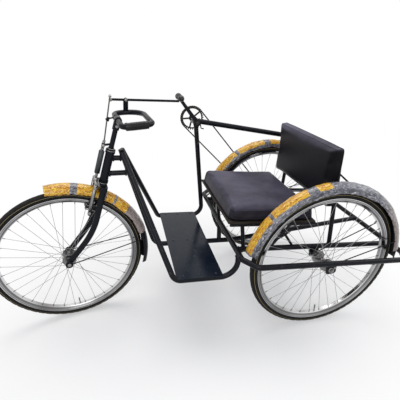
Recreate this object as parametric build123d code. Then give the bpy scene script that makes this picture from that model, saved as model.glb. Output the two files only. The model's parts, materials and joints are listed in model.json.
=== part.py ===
from build123d import *
import math
import os

os.makedirs("parts", exist_ok=True)

# Hand-cranked mobility tricycle, millimetres. +X forward, +Y to the rider's left, +Z up.
# The model is worked out from the point on the ground under the rear axles. It is moved at
# export so that the origin is in the middle of the floor area that the tricycle covers.

# Wheels: three equal wired-on roadster wheels
WHEEL_R = 355.0
TYRE_W = 37.0
TRACK = 700.0
WHEELBASE = 1165.0
RIM_W = 34.0
RIM_BED_R = 322.0
RIM_EDGE_R = 326.0
RIM_INNER_R = 304.0
RIM_WALL_R = 317.0
RIM_LIP = 1.4
RIM_BED_HALF = 12.0
RIM_INNER_HALF = 8.0
SPOKES = 36
SPOKE_D = 2.0
SPOKE_CROSS_DEG = 60.0
SPOKE_START_DEG = 5.0
FLANGE_R = 31.5
FLANGE_T = 3.0
HUB_BARREL_R = 14.0
HUB_CUP_R = 17.0
REAR_FLANGE_Y = 33.0
REAR_HUB_HALF = 47.0
FRONT_FLANGE_Y = 28.0
FRONT_HUB_HALF = 36.0
AXLE_D = 9.5
AXLE_FIT = 0.05
PIECE_GAP = 0.3

# Tubes of the frame
TUBE_R = 12.7
FRAME_TILT = 0.126
RAIL_OVER_AXLE = 33.0
OUTER_RAIL_OFFSET = 72.0
INNER_RAIL_OFFSET = 75.0
FRONT_CROSS_X = 398.0
REAR_CROSS_X = -430.0
RAIL_JOIN_FRONT_X = 300.0
RAIL_JOIN_REAR_X = -350.0
REAR_CORNER = (REAR_CROSS_X, REAR_CROSS_X + 34, RAIL_JOIN_REAR_X)
APEX = (WHEELBASE - 312.0, 869.0)
CENTRE_BEND = (WHEELBASE - 422.0, 352.0)
CENTRE_LOW = (330.0, 312.0)
KEEL_UPTURN = 75.0
FOOT_FRONT_X = WHEELBASE - 473.0
FOOT_REAR_X = FRONT_CROSS_X + 6.0
FOOT_HALF_W = 310.0
FOOT_BENDS = {1: [42, 76], -1: [42, 60]}
PLATE_T = 2.5
PLATE_FRONT_GAP = 8.0
PLATE_REAR_GAP = 48.0

# Steering head
HEAD_ANGLE = 70.0
RAKE = 76.0
STEER_REST = 8.0
HEAD_LOW_Z = 726.0
HEAD_HIGH_Z = 866.0
HEAD_TUBE_R = 19.0
STEERER_R = 12.7
CUP_R = 21.5
CUP_H = 9.0
CROWN_Z = 708.0
CROWN_SIZE = (34.0, 120.0, 24.0)
BLADE_Y = 50.0
BLADE_R = 14.0
BLADE_HALF_T = 9.0
BLADE_BEND_Z = 500.0
BLADE_BEND_R = 380.0
TIP_R = 13.0
TIP_T = 5.0

# Handle loop, its clamp and the brake lever above it
STEM_R = 11.0
STEERER_TOP_Z = 882.0
LOCK_NUT = (21.0, 9.0)
HANDLE_Z = 998.0
HANDLE_HALF_W = 126.0
HANDLE_DEPTH = 126.0
HANDLE_R = 12.0
LOOP_BENDS = {1: [30, 32], -1: [30, 88]}
GRIP_R = 16.0
GRIP_LEN = 90.0
LEVER_Z = 1071.0
LEVER_DROP = 34.0
LEVER_Y = -78.0
LEVER_FRONT = 18.0
LEVER_LEN = 320.0
LEVER_BAR = (10.0, 5.0)
FULCRUM_BACK = 55.0
ROD_R = 3.0
ROD_OFFSET = 36.0
SLEEVE_R = 9.0
SLEEVE_Z = (772.0, 874.0)
GUIDE_Z = 896.0
STIRRUP_R = 4.0
STIRRUP_Y = 41.0
STIRRUP_TOP_Z = 735.0
STIRRUP_LOW_Z = 590.0
PAD_SIZE = (45.0, 16.0, 11.0)
PAD_R = 290.0
PAD_Y = 17.0

# Mudguards
GUARD_R = 390.0
GUARD_DROP = 27.0
GUARD_HALF_W = 35.0
GUARD_T = 1.6
FRONT_GUARD_ARC = (-107.0, 5.0)
REAR_GUARD_ARC = (-96.0, 74.0)
STAY_R = 2.5

# Seat and backrest
SEAT_FRONT = (426.0, 635.0)
SEAT_DEPTH = 432.0
SEAT_W = 530.0
SEAT_T = 60.0
BOARD_T = 8.0
SEAT_TUBE_R = 9.0
SEAT_TUBE_INSET = 13.0
BRACE_R = 6.0
BACK_TOP = (SEAT_FRONT[0] - SEAT_DEPTH - 36.0, 874.0)
BACK_LEAN = 0.05
BACK_H = 290.0
BACK_W = 570.0
BACK_T = 45.0
BACK_POST_R = 10.0
BACK_POST_TOP = (84.0, 45.0)
POST_FOOT_Z = 400.0
BACK_BAR = (30.0, 4.0)
BACK_BAR_DROPS = (110.0, 232.0)

# Hand crank on the right side
CRANK_X = 446.0
CRANK_Z = 900.0
SHELL_R = 19.0
SHELL_LEN = 68.0
CRANK_LEN = 175.0
CRANK_ANGLE = 56.0
SPINDLE_R = 8.0
CRANK_ARM_GAP = 14.0
CRANK_ARM_T = 12.0
KNOB_R = 15.0
KNOB_LEN = 108.0
CHAIN_PITCH = 12.7
RING_TEETH = 32
SPROCKET_TEETH = 18
CHAIN_OFFSET = 46.0
TOOTH_T = 3.0
CHAIN_INNER_HALF = TOOTH_T / 2 + 0.4
CHAIN_PLATE_T = 1.3
CHAIN_PLATE_H = 9.0
TOP_TUBE_R = 14.0
TOP_TUBE_REAR_Z = 779.0

# Hangers that carry the rear axles under the rails
HANGER_W = 50.0
HANGER_T = 5.0
HANGER_BELOW = 20.0

rear_y = TRACK / 2
outer_rail_y = rear_y + OUTER_RAIL_OFFSET
inner_rail_y = rear_y - INNER_RAIL_OFFSET
cross_half_y = outer_rail_y - 98.0
tilt_deg = math.degrees(math.atan(FRAME_TILT))
axle_r = AXLE_D / 2
tyre_r = TYRE_W / 2
head_rad = math.radians(HEAD_ANGLE)
steer_x0 = WHEELBASE - RAKE / math.sin(head_rad)
steer_up = Vector(-math.cos(head_rad), 0, math.sin(head_rad))
steer_axis = Axis((steer_x0, 0, WHEEL_R), tuple(steer_up))


def rail_z(x):
    return WHEEL_R + RAIL_OVER_AXLE + FRAME_TILT * x


def steer_point(z, ahead=0.0, y=0.0):
    """A point at height z on a line parallel to the steering axis and ahead of it."""
    x = steer_x0 - (z - WHEEL_R) / math.tan(head_rad) + ahead / math.sin(head_rad)
    return Vector(x, y, z)


def rod(start, end, radius):
    start, end = Vector(*start), Vector(*end)
    base = Plane(origin=start, z_dir=end - start)
    return base * Cylinder(radius, (end - start).length, align=(Align.CENTER, Align.CENTER, Align.MIN))


def tube(points, bends, radius):
    path = FilletPolyline(*points, radius=bends)
    return sweep(Plane(origin=path @ 0, z_dir=path % 0) * Circle(radius), path=path)


def bar(x, z, y_from, y_to, radius):
    """A round bar that lies across the tricycle."""
    return rod((x, y_from, z), (x, y_to, z), radius)


def steered(shape):
    """Turn a piece of the steering, built straight ahead, to the angle at which it stands."""
    return shape.rotate(steer_axis, STEER_REST)


# The front wheel stands turned, so the foremost point of its tyre follows from the lean.
turned_centre = Vertex(WHEELBASE, 0, WHEEL_R).rotate(steer_axis, STEER_REST)
turned_axle_x = -math.sin(head_rad) * math.sin(math.radians(STEER_REST))
tyre_mid_r = WHEEL_R - tyre_r
x_front = turned_centre.X + tyre_mid_r * math.sqrt(1 - turned_axle_x**2) + tyre_r
x_rear = REAR_CROSS_X - TUBE_R
x_middle = (x_front + x_rear) / 2
print("overall length", round(x_front - x_rear, 1), "middle at", round(x_middle, 3))


def save(name, *shapes):
    whole = shapes[0] if len(shapes) == 1 else Compound(children=list(shapes))
    export_step(whole.moved(Location((-x_middle, 0, 0))), f"parts/{name}.step")


def wheel_ring(outline):
    return revolve(Plane.YZ * make_face(Polyline(*outline, close=True)), Axis.Y, 360)


def tyre():
    section = Plane.YZ * (Pos(0, tyre_mid_r) * Circle(tyre_r))
    ring = revolve(section, Axis.Y, 360)
    bed = Rot(X=90) * Cylinder(RIM_BED_R, TYRE_W * 2)
    return ring - bed


def rim():
    half, lip = RIM_W / 2, RIM_W / 2 - RIM_LIP
    # One half of the section from the bed outwards, as distance from the middle and radius
    side = [(RIM_BED_HALF, RIM_BED_R), (lip, RIM_EDGE_R), (half, RIM_EDGE_R), (half, RIM_WALL_R), (RIM_INNER_HALF, RIM_INNER_R)]
    return wheel_ring(side + [(-y, r) for y, r in reversed(side)])


def spokes(flange_y):
    """Crossed spokes: every second hole of a flange leads, the next one trails."""
    length_end = RIM_INNER_R - 0.6
    root_r = FLANGE_R - 2.0
    reach = FLANGE_T / 2 + SPOKE_D / 2 + PIECE_GAP
    holes = SPOKES // 2
    made = []
    for side in (1, -1):
        for hole in range(holes):
            lead = 1 if hole % 2 else -1
            root_deg = SPOKE_START_DEG + 360 / holes * hole + (0 if side > 0 else 180 / holes)
            rim_deg = root_deg + lead * SPOKE_CROSS_DEG
            # Heads outside the flange lean inward as they leave it, so they start further out.
            root_y = side * (flange_y + (reach + 0.8 if lead > 0 else -reach))
            a, b = math.radians(root_deg), math.radians(rim_deg)
            start = Vector(root_r * math.cos(a), root_y, root_r * math.sin(a))
            end = Vector(length_end * math.cos(b), 0, length_end * math.sin(b))
            line = end - start
            section = Plane(origin=start, z_dir=line) * RegularPolygon(SPOKE_D / 2, 6)
            made.append(extrude(section, line.length))
    return made


def hub(flange_y, half, right_extra=0.0):
    bore_r = axle_r + AXLE_FIT
    inner, outer = flange_y - FLANGE_T / 2, flange_y + FLANGE_T / 2
    low = -half - right_extra
    outline = [
        (low, bore_r), (low, HUB_CUP_R), (-outer, HUB_CUP_R), (-outer, FLANGE_R), (-inner, FLANGE_R),
        (-inner, HUB_CUP_R), (-inner + 8, HUB_BARREL_R), (inner - 8, HUB_BARREL_R), (inner, HUB_CUP_R),
        (inner, FLANGE_R), (outer, FLANGE_R), (outer, HUB_CUP_R), (half, HUB_CUP_R), (half, bore_r),
    ]
    return wheel_ring(outline)


def toothed(teeth, thickness):
    """A chain sprocket blank, flat in the XZ plane and centred on the origin."""
    pitch_r = CHAIN_PITCH / 2 / math.sin(math.pi / teeth)
    step = 2 * math.pi / teeth
    # One tooth as share of its pitch and height over the pitch circle
    tooth = [(-0.5, -4.0), (-0.25, -4.0), (-0.09, 3.4), (0.09, 3.4), (0.25, -4.0)]
    points = []
    for number in range(teeth):
        for share, rise in tooth:
            angle = (number + share) * step
            points.append(((pitch_r + rise) * math.cos(angle), (pitch_r + rise) * math.sin(angle)))
    face = Plane.XZ * make_face(Polyline(*points, close=True))
    return extrude(face, thickness / 2, both=True)


def guard(arc):
    """A mudguard: a shallow crowned section turned about the axle, angles forward from the top."""
    edge_r = GUARD_R - GUARD_DROP
    outer = ThreePointArc((-GUARD_HALF_W, edge_r), (0, GUARD_R), (GUARD_HALF_W, edge_r))
    in_half = GUARD_HALF_W - GUARD_T
    inner = ThreePointArc((in_half, edge_r), (0, GUARD_R - GUARD_T), (-in_half, edge_r))
    rim_a = Line((GUARD_HALF_W, edge_r), (in_half, edge_r))
    rim_b = Line((-in_half, edge_r), (-GUARD_HALF_W, edge_r))
    face = Plane.YZ * make_face([outer, rim_a, inner, rim_b])
    return revolve(Rot(Y=arc[0]) * face, Axis.Y, arc[1] - arc[0])


def guard_point(angle, radius, y=0.0):
    a = math.radians(angle)
    return Vector(radius * math.sin(a), y, radius * math.cos(a))


def belt(r_front, r_rear, front, rear, height):
    """The area between two offset loops that run round a large and a small circle."""

    def loop(grow):
        ra, rb = r_front + grow, r_rear + grow
        gap = rear - front
        along = math.atan2(gap.Y, gap.X)
        open_angle = math.acos((ra - rb) / gap.length)

        def at(centre, radius, angle):
            return centre + Vector(radius * math.cos(angle), radius * math.sin(angle))

        a1, a2 = at(front, ra, along + open_angle), at(front, ra, along - open_angle)
        b1, b2 = at(rear, rb, along + open_angle), at(rear, rb, along - open_angle)
        back_a, back_b = at(front, ra, along + math.pi), at(rear, rb, along)
        edges = [Line(a1, b1), ThreePointArc(b1, back_b, b2), Line(b2, a2), ThreePointArc(a2, back_a, a1)]
        return make_face(edges), (a1, b1), (a2, b2)

    outer, *_ = loop(height / 2)
    inner, *_ = loop(-height / 2)
    _, run_a, run_b = loop(0)
    return outer - inner, run_a, run_b


# Rails beside and between the wheels, the two cross tubes and the four bent corners
front_cross = bar(FRONT_CROSS_X, rail_z(FRONT_CROSS_X), -cross_half_y, cross_half_y, TUBE_R)
rear_cross = bar(REAR_CROSS_X, rail_z(REAR_CROSS_X), -cross_half_y, cross_half_y, TUBE_R)
save("front_cross_tube", front_cross)
save("rear_cross_tube", rear_cross)
corners = []
for side in (1, -1):
    for cross_x, knee_x, join_x in ((FRONT_CROSS_X, FRONT_CROSS_X - 52, RAIL_JOIN_FRONT_X), REAR_CORNER):
        path = [
            (cross_x, side * cross_half_y, rail_z(cross_x)),
            (cross_x, side * (outer_rail_y - 66), rail_z(cross_x)),
            (knee_x, side * outer_rail_y, rail_z(knee_x)),
            (join_x, side * outer_rail_y, rail_z(join_x)),
        ]
        corners.append(tube(path, [34, 34], TUBE_R))
save("rail_corners", *corners)
inner_rails = {}
outer_rails = {}
for side in (1, -1):
    y = side * inner_rail_y
    x0, x1 = REAR_CROSS_X + 3, FRONT_CROSS_X - 3
    inner_rails[side] = rod((x0, y, rail_z(x0)), (x1, y, rail_z(x1)), TUBE_R) - front_cross - rear_cross
    y = side * outer_rail_y
    x0, x1 = RAIL_JOIN_REAR_X, RAIL_JOIN_FRONT_X
    outer_rails[side] = rod((x0, y, rail_z(x0)), (x1, y, rail_z(x1)), TUBE_R)
save("inner_rails", inner_rails[1], inner_rails[-1])
save("outer_rails", outer_rails[1], outer_rails[-1])

# Centre tube from the steering head down, under the footplate and back to the rear cross tube
foot_slope = (CENTRE_BEND[1] - CENTRE_LOW[1]) / (CENTRE_BEND[0] - CENTRE_LOW[0])


def foot_z(x):
    return CENTRE_LOW[1] + foot_slope * (x - CENTRE_LOW[0])


# The down tube is straight. The bend at its foot is the front end of the keel tube.
down_run = Vector(APEX[0] - CENTRE_BEND[0], 0, APEX[1] - CENTRE_BEND[1]).normalized()
keel_start = Vector(CENTRE_BEND[0], 0, CENTRE_BEND[1]) + down_run * KEEL_UPTURN
down_tube = rod(keel_start, (APEX[0], 0, APEX[1]), TUBE_R)
keel = tube(
    [
        tuple(keel_start),
        (CENTRE_BEND[0], 0, CENTRE_BEND[1]),
        (CENTRE_LOW[0], 0, CENTRE_LOW[1]),
        (REAR_CROSS_X + 3, 0, rail_z(REAR_CROSS_X + 3)),
    ],
    [60, 300],
    TUBE_R,
)
link = rod((FRONT_CROSS_X + 3, 0, foot_z(FRONT_CROSS_X)), (FRONT_CROSS_X, 0, rail_z(FRONT_CROSS_X) - 1), TUBE_R - 1)
keel_tube = keel + link - front_cross - rear_cross
save("down_tube", down_tube)
save("keel_tube", keel_tube)

# Side braces down from the head, foot rails beside the footplate, and the post of the crank
side_top_y = 2 * TUBE_R + 0.2
shell = bar(CRANK_X, CRANK_Z, -FOOT_HALF_W - SHELL_LEN / 2, -FOOT_HALF_W + SHELL_LEN / 2, SHELL_R)
post_foot_x = FRONT_CROSS_X + 2 * TUBE_R + 0.2
post_bend = Vector(post_foot_x, -FOOT_HALF_W, foot_z(post_foot_x))
post_run = (Vector(CRANK_X - 2, -FOOT_HALF_W, CRANK_Z - 5) - post_bend).normalized()
post_start = post_bend + post_run * KEEL_UPTURN
braces = []
foot_rails = []
for side in (1, -1):
    top = Vector(APEX[0] - 4, side * side_top_y, APEX[1] - 10)
    knee = Vector(FOOT_FRONT_X, side * FOOT_HALF_W, foot_z(FOOT_FRONT_X))
    start = knee + (top - knee).normalized() * KEEL_UPTURN
    braces.append(rod(start, top, TUBE_R))
    if side > 0:
        rear_end = [(FOOT_REAR_X, FOOT_HALF_W, foot_z(FOOT_REAR_X)), (FRONT_CROSS_X, FOOT_HALF_W, rail_z(FRONT_CROSS_X) - 1)]
    else:
        rear_end = [tuple(post_bend), tuple(post_start)]
    foot_rails.append(tube([tuple(start), tuple(knee)] + rear_end, FOOT_BENDS[side], TUBE_R) - front_cross)
crank_post = rod(post_start, (CRANK_X - 2, -FOOT_HALF_W, CRANK_Z - 5), TUBE_R) - shell
save("side_braces", *braces)
save("foot_rails", *foot_rails)
save("crank_post", crank_post)

# Footplate, a flat sheet that lies on the centre tube and both side tubes
plate_x0 = post_foot_x + PLATE_REAR_GAP
plate_x1 = FOOT_FRONT_X - PLATE_FRONT_GAP
plate_mid_x = (plate_x0 + plate_x1) / 2
plate = RectangleRounded(plate_x1 - plate_x0, 2 * FOOT_HALF_W + 2 * TUBE_R, 12)
plate_normal = Vector(-foot_slope, 0, 1).normalized()
plate_low = Vector(plate_mid_x, 0, foot_z(plate_mid_x)) + plate_normal * TUBE_R
footplate = Plane(origin=plate_low, x_dir=(1, 0, foot_slope), z_dir=plate_normal) * extrude(plate, PLATE_T)
footplate = footplate - foot_rails[0] - foot_rails[1]
save("footplate", footplate)

# Head tube with its cups and the two short links back to the centre tube
head = rod(steer_point(HEAD_LOW_Z), steer_point(HEAD_HIGH_Z), HEAD_TUBE_R)
low_cup = rod(steer_point(HEAD_LOW_Z), steer_point(HEAD_LOW_Z) + steer_up * CUP_H, CUP_R)
high_cup = rod(steer_point(HEAD_HIGH_Z) - steer_up * CUP_H, steer_point(HEAD_HIGH_Z), CUP_R)
apex_run = Vector(CENTRE_BEND[0] - APEX[0], 0, CENTRE_BEND[1] - APEX[1])
head_links = []
for drop in (41.0, 112.0):
    share = drop / (APEX[1] - CENTRE_BEND[1])
    back = Vector(APEX[0], 0, APEX[1]) + apex_run * share
    head_links.append(rod(back, steer_point(back.Z + 6), TUBE_R - 0.7))
bore = rod(steer_point(HEAD_LOW_Z - 40), steer_point(HEAD_HIGH_Z + 40), STEERER_R + AXLE_FIT)
relief_low = steer_point(HEAD_LOW_Z) + steer_up * CUP_H
relief_high = steer_point(HEAD_HIGH_Z) - steer_up * CUP_H
relief = rod(relief_low, relief_high, STEERER_R + 2.0)
head_tube = head + low_cup + high_cup + head_links[0] + head_links[1] - down_tube - bore - relief
save("head_tube", head_tube)

# Hangers under the rails, and the fixed axles that they hold
hangers = []
rear_axles = []
for side in (1, -1):
    for rail_y, rail in ((inner_rail_y, inner_rails[side]), (outer_rail_y, outer_rails[side])):
        low_z = WHEEL_R - HANGER_BELOW
        plate = Pos(0, side * rail_y, (low_z + rail_z(0)) / 2) * Box(HANGER_W, HANGER_T, rail_z(0) - low_z)
        plate = fillet(plate.edges().filter_by(Axis.Y).group_by(Axis.Z)[0], 14)
        hole = bar(0, WHEEL_R, side * rail_y - 20, side * rail_y + 20, axle_r + PIECE_GAP / 3)
        hangers.append(plate - rail - hole)
    extra = 0.0 if side > 0 else CHAIN_OFFSET + 6 - REAR_HUB_HALF
    wheel_y = side * rear_y
    inner_face = wheel_y - side * (INNER_RAIL_OFFSET - HANGER_T / 2)
    outer_face = wheel_y + side * (OUTER_RAIL_OFFSET - HANGER_T / 2)
    nut = 12.0
    axle = bar(0, WHEEL_R, inner_face - side * (HANGER_T + nut), outer_face + side * (HANGER_T + nut), axle_r)
    cone_in = bar(0, WHEEL_R, wheel_y - side * (REAR_HUB_HALF + PIECE_GAP), inner_face, 8.5)
    cone_out = bar(0, WHEEL_R, wheel_y + side * (REAR_HUB_HALF + extra + PIECE_GAP), outer_face, 8.5)
    nut_face = Plane.XZ * RegularPolygon(9.5, 6)
    nuts = []
    for face_y, way in ((inner_face, -side), (outer_face, side)):
        at_y = face_y + way * (HANGER_T + 4)
        nuts.append(Pos(0, at_y, WHEEL_R) * extrude(nut_face, 4, both=True))
    rear_axles.append(axle + cone_in + cone_out + nuts[0] + nuts[1])
save("axle_hangers", *hangers)
save("rear_axles", *rear_axles)

# Crank bearing, the bar behind it and the posts and bars of the backrest
shell_bore = bar(CRANK_X, CRANK_Z, -FOOT_HALF_W - SHELL_LEN, -FOOT_HALF_W + SHELL_LEN, SPINDLE_R + AXLE_FIT)
save("crank_bearing", shell - shell_bore)
post_back = BACK_T + BACK_BAR[1] + BACK_POST_R


def back_x(z, behind=0.0):
    """A point of a line that is behind the front face of the backrest, at height z."""
    return BACK_TOP[0] + (BACK_TOP[1] - z) * BACK_LEAN - behind


post_low_z = rail_z(back_x(POST_FOOT_Z, post_back))
post_top_z = BACK_TOP[1] - BACK_POST_TOP[0]


def post_at(z, side):
    """A point of a back post: it stands on the inner rail and leans in towards its top."""
    inset = BACK_POST_TOP[1] * (z - post_low_z) / (post_top_z - post_low_z)
    return Vector(back_x(z, post_back), side * (inner_rail_y - inset), z)


posts = {}
for side in (1, -1):
    posts[side] = rod(post_at(post_low_z, side), post_at(post_top_z, side), BACK_POST_R)
    posts[side] = posts[side] - inner_rails[side]
save("back_posts", posts[1], posts[-1])
bars = []
back_dir = Vector(-BACK_LEAN, 0, 1).normalized()
back_out = Vector(-1, 0, -BACK_LEAN).normalized()
for drop in BACK_BAR_DROPS:
    z = BACK_TOP[1] - drop
    face = Vector(back_x(z), 0, z) + back_out * (BACK_T + PIECE_GAP + BACK_BAR[1] / 2)
    flat = Plane(origin=face, x_dir=back_dir, z_dir=back_out)
    bars.append(flat * Box(BACK_BAR[0], 2 * post_at(z, 1).Y + 2 * BACK_POST_R, BACK_BAR[1]))
back_bars = [piece - posts[1] - posts[-1] for piece in bars]
save("back_bars", *back_bars)
meet = post_at(TOP_TUBE_REAR_Z, -1)
top_tube = rod((CRANK_X, -FOOT_HALF_W, CRANK_Z + 2), (meet.X - 14, -FOOT_HALF_W, meet.Z - 4), TOP_TUBE_R) - shell - crank_post
top_tube += bar(meet.X, meet.Z, -FOOT_HALF_W, meet.Y, BACK_POST_R - 2) - posts[-1]
hook = tube(
    [
        (CRANK_X - 26, -FOOT_HALF_W, CRANK_Z - 10),
        (CRANK_X - 31, -FOOT_HALF_W, CRANK_Z - 42),
        (CRANK_X - 46, -FOOT_HALF_W, CRANK_Z - 46),
    ],
    [6],
    ROD_R,
)
save("top_tube", top_tube + (hook - shell))

# Seat: ring of tube on short posts and braces, board and cushion


def seat_z(x, down=0.0):
    return SEAT_FRONT[1] + FRAME_TILT * (x - SEAT_FRONT[0]) - down


seat_x0 = SEAT_FRONT[0] - SEAT_DEPTH
seat_tube_y = SEAT_W / 2 - SEAT_TUBE_INSET
ring_down = SEAT_T + BOARD_T + SEAT_TUBE_R + 1.0
ring_x0, ring_x1 = seat_x0 + 14, SEAT_FRONT[0] - 14
seat_rails = {}
for side in (1, -1):
    y = side * seat_tube_y
    seat_rails[side] = rod((ring_x0 - 8, y, seat_z(ring_x0 - 8, ring_down)), (ring_x1 + 8, y, seat_z(ring_x1 + 8, ring_down)), SEAT_TUBE_R)
save("seat_rails", seat_rails[1], seat_rails[-1])
seat_bars = [bar(x, seat_z(x, ring_down), -seat_tube_y, seat_tube_y, SEAT_TUBE_R - 0.5) for x in (ring_x0 + 6, ring_x1 - 6)]
seat_bars = [piece - seat_rails[1] - seat_rails[-1] for piece in seat_bars]
save("seat_cross_bars", *seat_bars)
# Each brace: where it meets the rail, where it meets the ring, and how far inside each
BRACES = {"front": (364.0, 364.0, 0.0, 0.0), "slant": (242.0, 128.0, -6.0, -4.0), "counter": (112.0, 188.0, 12.0, 10.0)}
seat_braces = []
for side in (1, -1):
    for rail_x, ring_x, rail_in, ring_in in BRACES.values():
        foot = (rail_x, side * (inner_rail_y - rail_in), rail_z(rail_x))
        head_end = (ring_x, side * (seat_tube_y - ring_in), seat_z(ring_x, ring_down))
        radius = SEAT_TUBE_R if rail_x == ring_x else BRACE_R
        seat_braces.append(rod(foot, head_end, radius) - inner_rails[side] - seat_rails[side])
strut_top = (ring_x1 - 6, 0, seat_z(ring_x1 - 6, ring_down))
strut = rod((FRONT_CROSS_X, 0, rail_z(FRONT_CROSS_X)), strut_top, SEAT_TUBE_R - 1)
seat_braces.append(strut - front_cross - seat_bars[1])
save("seat_braces", *seat_braces)

seat_mid = Vector((seat_x0 + SEAT_FRONT[0]) / 2, 0, seat_z((seat_x0 + SEAT_FRONT[0]) / 2))
seat_up = Vector(-FRAME_TILT, 0, 1).normalized()
seat_plane = Plane(origin=seat_mid, x_dir=(1, 0, FRAME_TILT), z_dir=seat_up)
seat_len = SEAT_DEPTH / math.cos(math.radians(tilt_deg))
board = Pos(0, 0, -SEAT_T - PIECE_GAP - BOARD_T / 2) * Box(seat_len - 6, SEAT_W - 8, BOARD_T)
save("seat_board", seat_plane * board)
cushion = Pos(0, 0, -SEAT_T / 2) * Box(seat_len, SEAT_W, SEAT_T)
cushion = fillet(cushion.edges(), 12)
save("seat_cushion", seat_plane * cushion)
back_mid = Vector(back_x(BACK_TOP[1] - BACK_H / 2), 0, BACK_TOP[1] - BACK_H / 2)
back_plane = Plane(origin=back_mid, x_dir=back_dir, z_dir=back_out)
back_pad = Pos(0, 0, BACK_T / 2) * Box(BACK_H, BACK_W, BACK_T)
back_pad = fillet(back_pad.edges(), 11)
save("back_cushion", back_plane * back_pad)

# Rear mudguards with their stays and the strap to the back post
for side_name, side in (("left", 1), ("right", -1)):
    centre_at = Pos(0, side * rear_y, WHEEL_R)
    sheet = centre_at * guard(REAR_GUARD_ARC)
    edge_r = GUARD_R - GUARD_DROP
    stays = []
    hub_at = Vector(0, side * rear_y, WHEEL_R)
    for angle, y_sign, rail_y in ((-64.0, -1, inner_rail_y), (-79.0, 1, outer_rail_y)):
        tip = hub_at + guard_point(angle, edge_r + 8, y_sign * side * (GUARD_HALF_W - 2))
        root_y = side * (rail_y - y_sign * (TUBE_R + STAY_R + 1.0))
        bolt_y = side * (rail_y - y_sign * HANGER_T / 2)
        stays.append(rod((-14, root_y, WHEEL_R + 12), tip, STAY_R))
        stays.append(bar(-14, WHEEL_R + 12, bolt_y, root_y, STAY_R + 1.5))
    inner_side = -side * (GUARD_HALF_W - 4)
    strap_end = hub_at + guard_point(-17, GUARD_R - 18, inner_side)
    strap_root = post_at(strap_end.Z + 30, side)
    strap = rod(strap_root, strap_end, STAY_R + 1.5) - posts[side]
    tab_end = (FRONT_CROSS_X - 4, side * (rear_y - GUARD_HALF_W - 6), rail_z(FRONT_CROSS_X) + 4)
    tab = rod(hub_at + guard_point(72, edge_r + 4, inner_side), tab_end, STAY_R + 1.5) - front_cross
    for piece in stays + [strap, tab]:
        sheet += piece
    for piece in corners:
        sheet -= piece
    save(f"mudguard_{side_name}", sheet)

# Wheels
chain_y = -rear_y - CHAIN_OFFSET
places = {
    "rear_left": (Pos(0, rear_y, WHEEL_R), REAR_FLANGE_Y, REAR_HUB_HALF, 0.0),
    "rear_right": (Pos(0, -rear_y, WHEEL_R), REAR_FLANGE_Y, REAR_HUB_HALF, CHAIN_OFFSET + 6 - REAR_HUB_HALF),
    "front": (Pos(WHEELBASE, 0, WHEEL_R), FRONT_FLANGE_Y, FRONT_HUB_HALF, 0.0),
}
for name, (place, flange_y, half, extra) in places.items():
    turn = steered if name == "front" else (lambda shape: shape)
    save(f"tyre_{name}", turn(place * tyre()))
    save(f"rim_{name}", turn(place * rim()))
    save(f"spokes_{name}", *[turn(place * spoke) for spoke in spokes(flange_y)])
    body = place * hub(flange_y, half, extra)
    if extra:
        body += Pos(0, chain_y, WHEEL_R) * toothed(SPROCKET_TEETH, TOOTH_T) - bar(0, WHEEL_R, -TRACK, 0, HUB_BARREL_R)
    save(f"hub_{name}", turn(body))

# Chain drive from the crank to the right rear wheel
ring_blank = toothed(RING_TEETH, TOOTH_T)
ring_pitch_r = CHAIN_PITCH / 2 / math.sin(math.pi / RING_TEETH)
sprocket_pitch_r = CHAIN_PITCH / 2 / math.sin(math.pi / SPROCKET_TEETH)
window = Rot(X=90) * Cylinder(ring_pitch_r - 12, 20)
chainwheel = ring_blank - window + Rot(X=90) * Cylinder(19, TOOTH_T)
for arm in range(5):
    spoke_bar = Pos((ring_pitch_r - 8) / 2, 0, 0) * Box(ring_pitch_r - 8, TOOTH_T, 9)
    chainwheel += Rot(Y=72 * arm) * spoke_bar

drive_plane = Plane(origin=(0, chain_y, 0), x_dir=(1, 0, 0), z_dir=(0, -1, 0))
front_at, rear_at = Vector(CRANK_X, CRANK_Z), Vector(0, WHEEL_R)
band, run_a, run_b = belt(ring_pitch_r, sprocket_pitch_r, front_at, rear_at, CHAIN_PLATE_H)
plates = []
for way in (1, -1):
    offset = CHAIN_INNER_HALF if way > 0 else -CHAIN_INNER_HALF - CHAIN_PLATE_T
    plates.append(drive_plane * (Pos(0, 0, offset) * extrude(band, CHAIN_PLATE_T)))
chain = plates[0] + plates[1]
pins = []
for start, end in (run_a, run_b):
    run = end - start
    count = int(run.length / CHAIN_PITCH / 2) - 3
    first = (run.length - (count - 1) * 2 * CHAIN_PITCH) / 2
    for number in range(count):
        at = start + run.normalized() * (first + number * 2 * CHAIN_PITCH)
        pin = Pos(at.X, at.Y, -CHAIN_INNER_HALF) * extrude(RegularPolygon(3.8, 6), 2 * CHAIN_INNER_HALF)
        pins.append(drive_plane * pin)
chain = chain.fuse(*pins)
save("chain", chain)

# Crank: spindle through the bearing, arm on the rider's side, and a turned hand grip
arm_y0 = -FOOT_HALF_W + SHELL_LEN / 2 + CRANK_ARM_GAP
spindle = bar(CRANK_X, CRANK_Z, chain_y - TOOTH_T / 2 - 4, arm_y0 + CRANK_ARM_T + 2, SPINDLE_R)
crank_rad = math.radians(CRANK_ANGLE)
grip_x = CRANK_X + CRANK_LEN * math.cos(crank_rad)
grip_z = CRANK_Z + CRANK_LEN * math.sin(crank_rad)
arm_plane = Plane(origin=(0, arm_y0, 0), x_dir=(1, 0, 0), z_dir=(0, -1, 0))
eye_a = arm_plane * (Pos(CRANK_X, CRANK_Z) * extrude(Circle(16), -CRANK_ARM_T))
eye_b = arm_plane * (Pos(grip_x, grip_z) * extrude(Circle(12), -CRANK_ARM_T))
web_face = make_face(
    Polyline((0, -11), (CRANK_LEN, -7.5), (CRANK_LEN, 7.5), (0, 11), close=True)
)
web = arm_plane * (Pos(CRANK_X, CRANK_Z) * Rot(Z=CRANK_ANGLE) * extrude(web_face, -CRANK_ARM_T))
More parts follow.
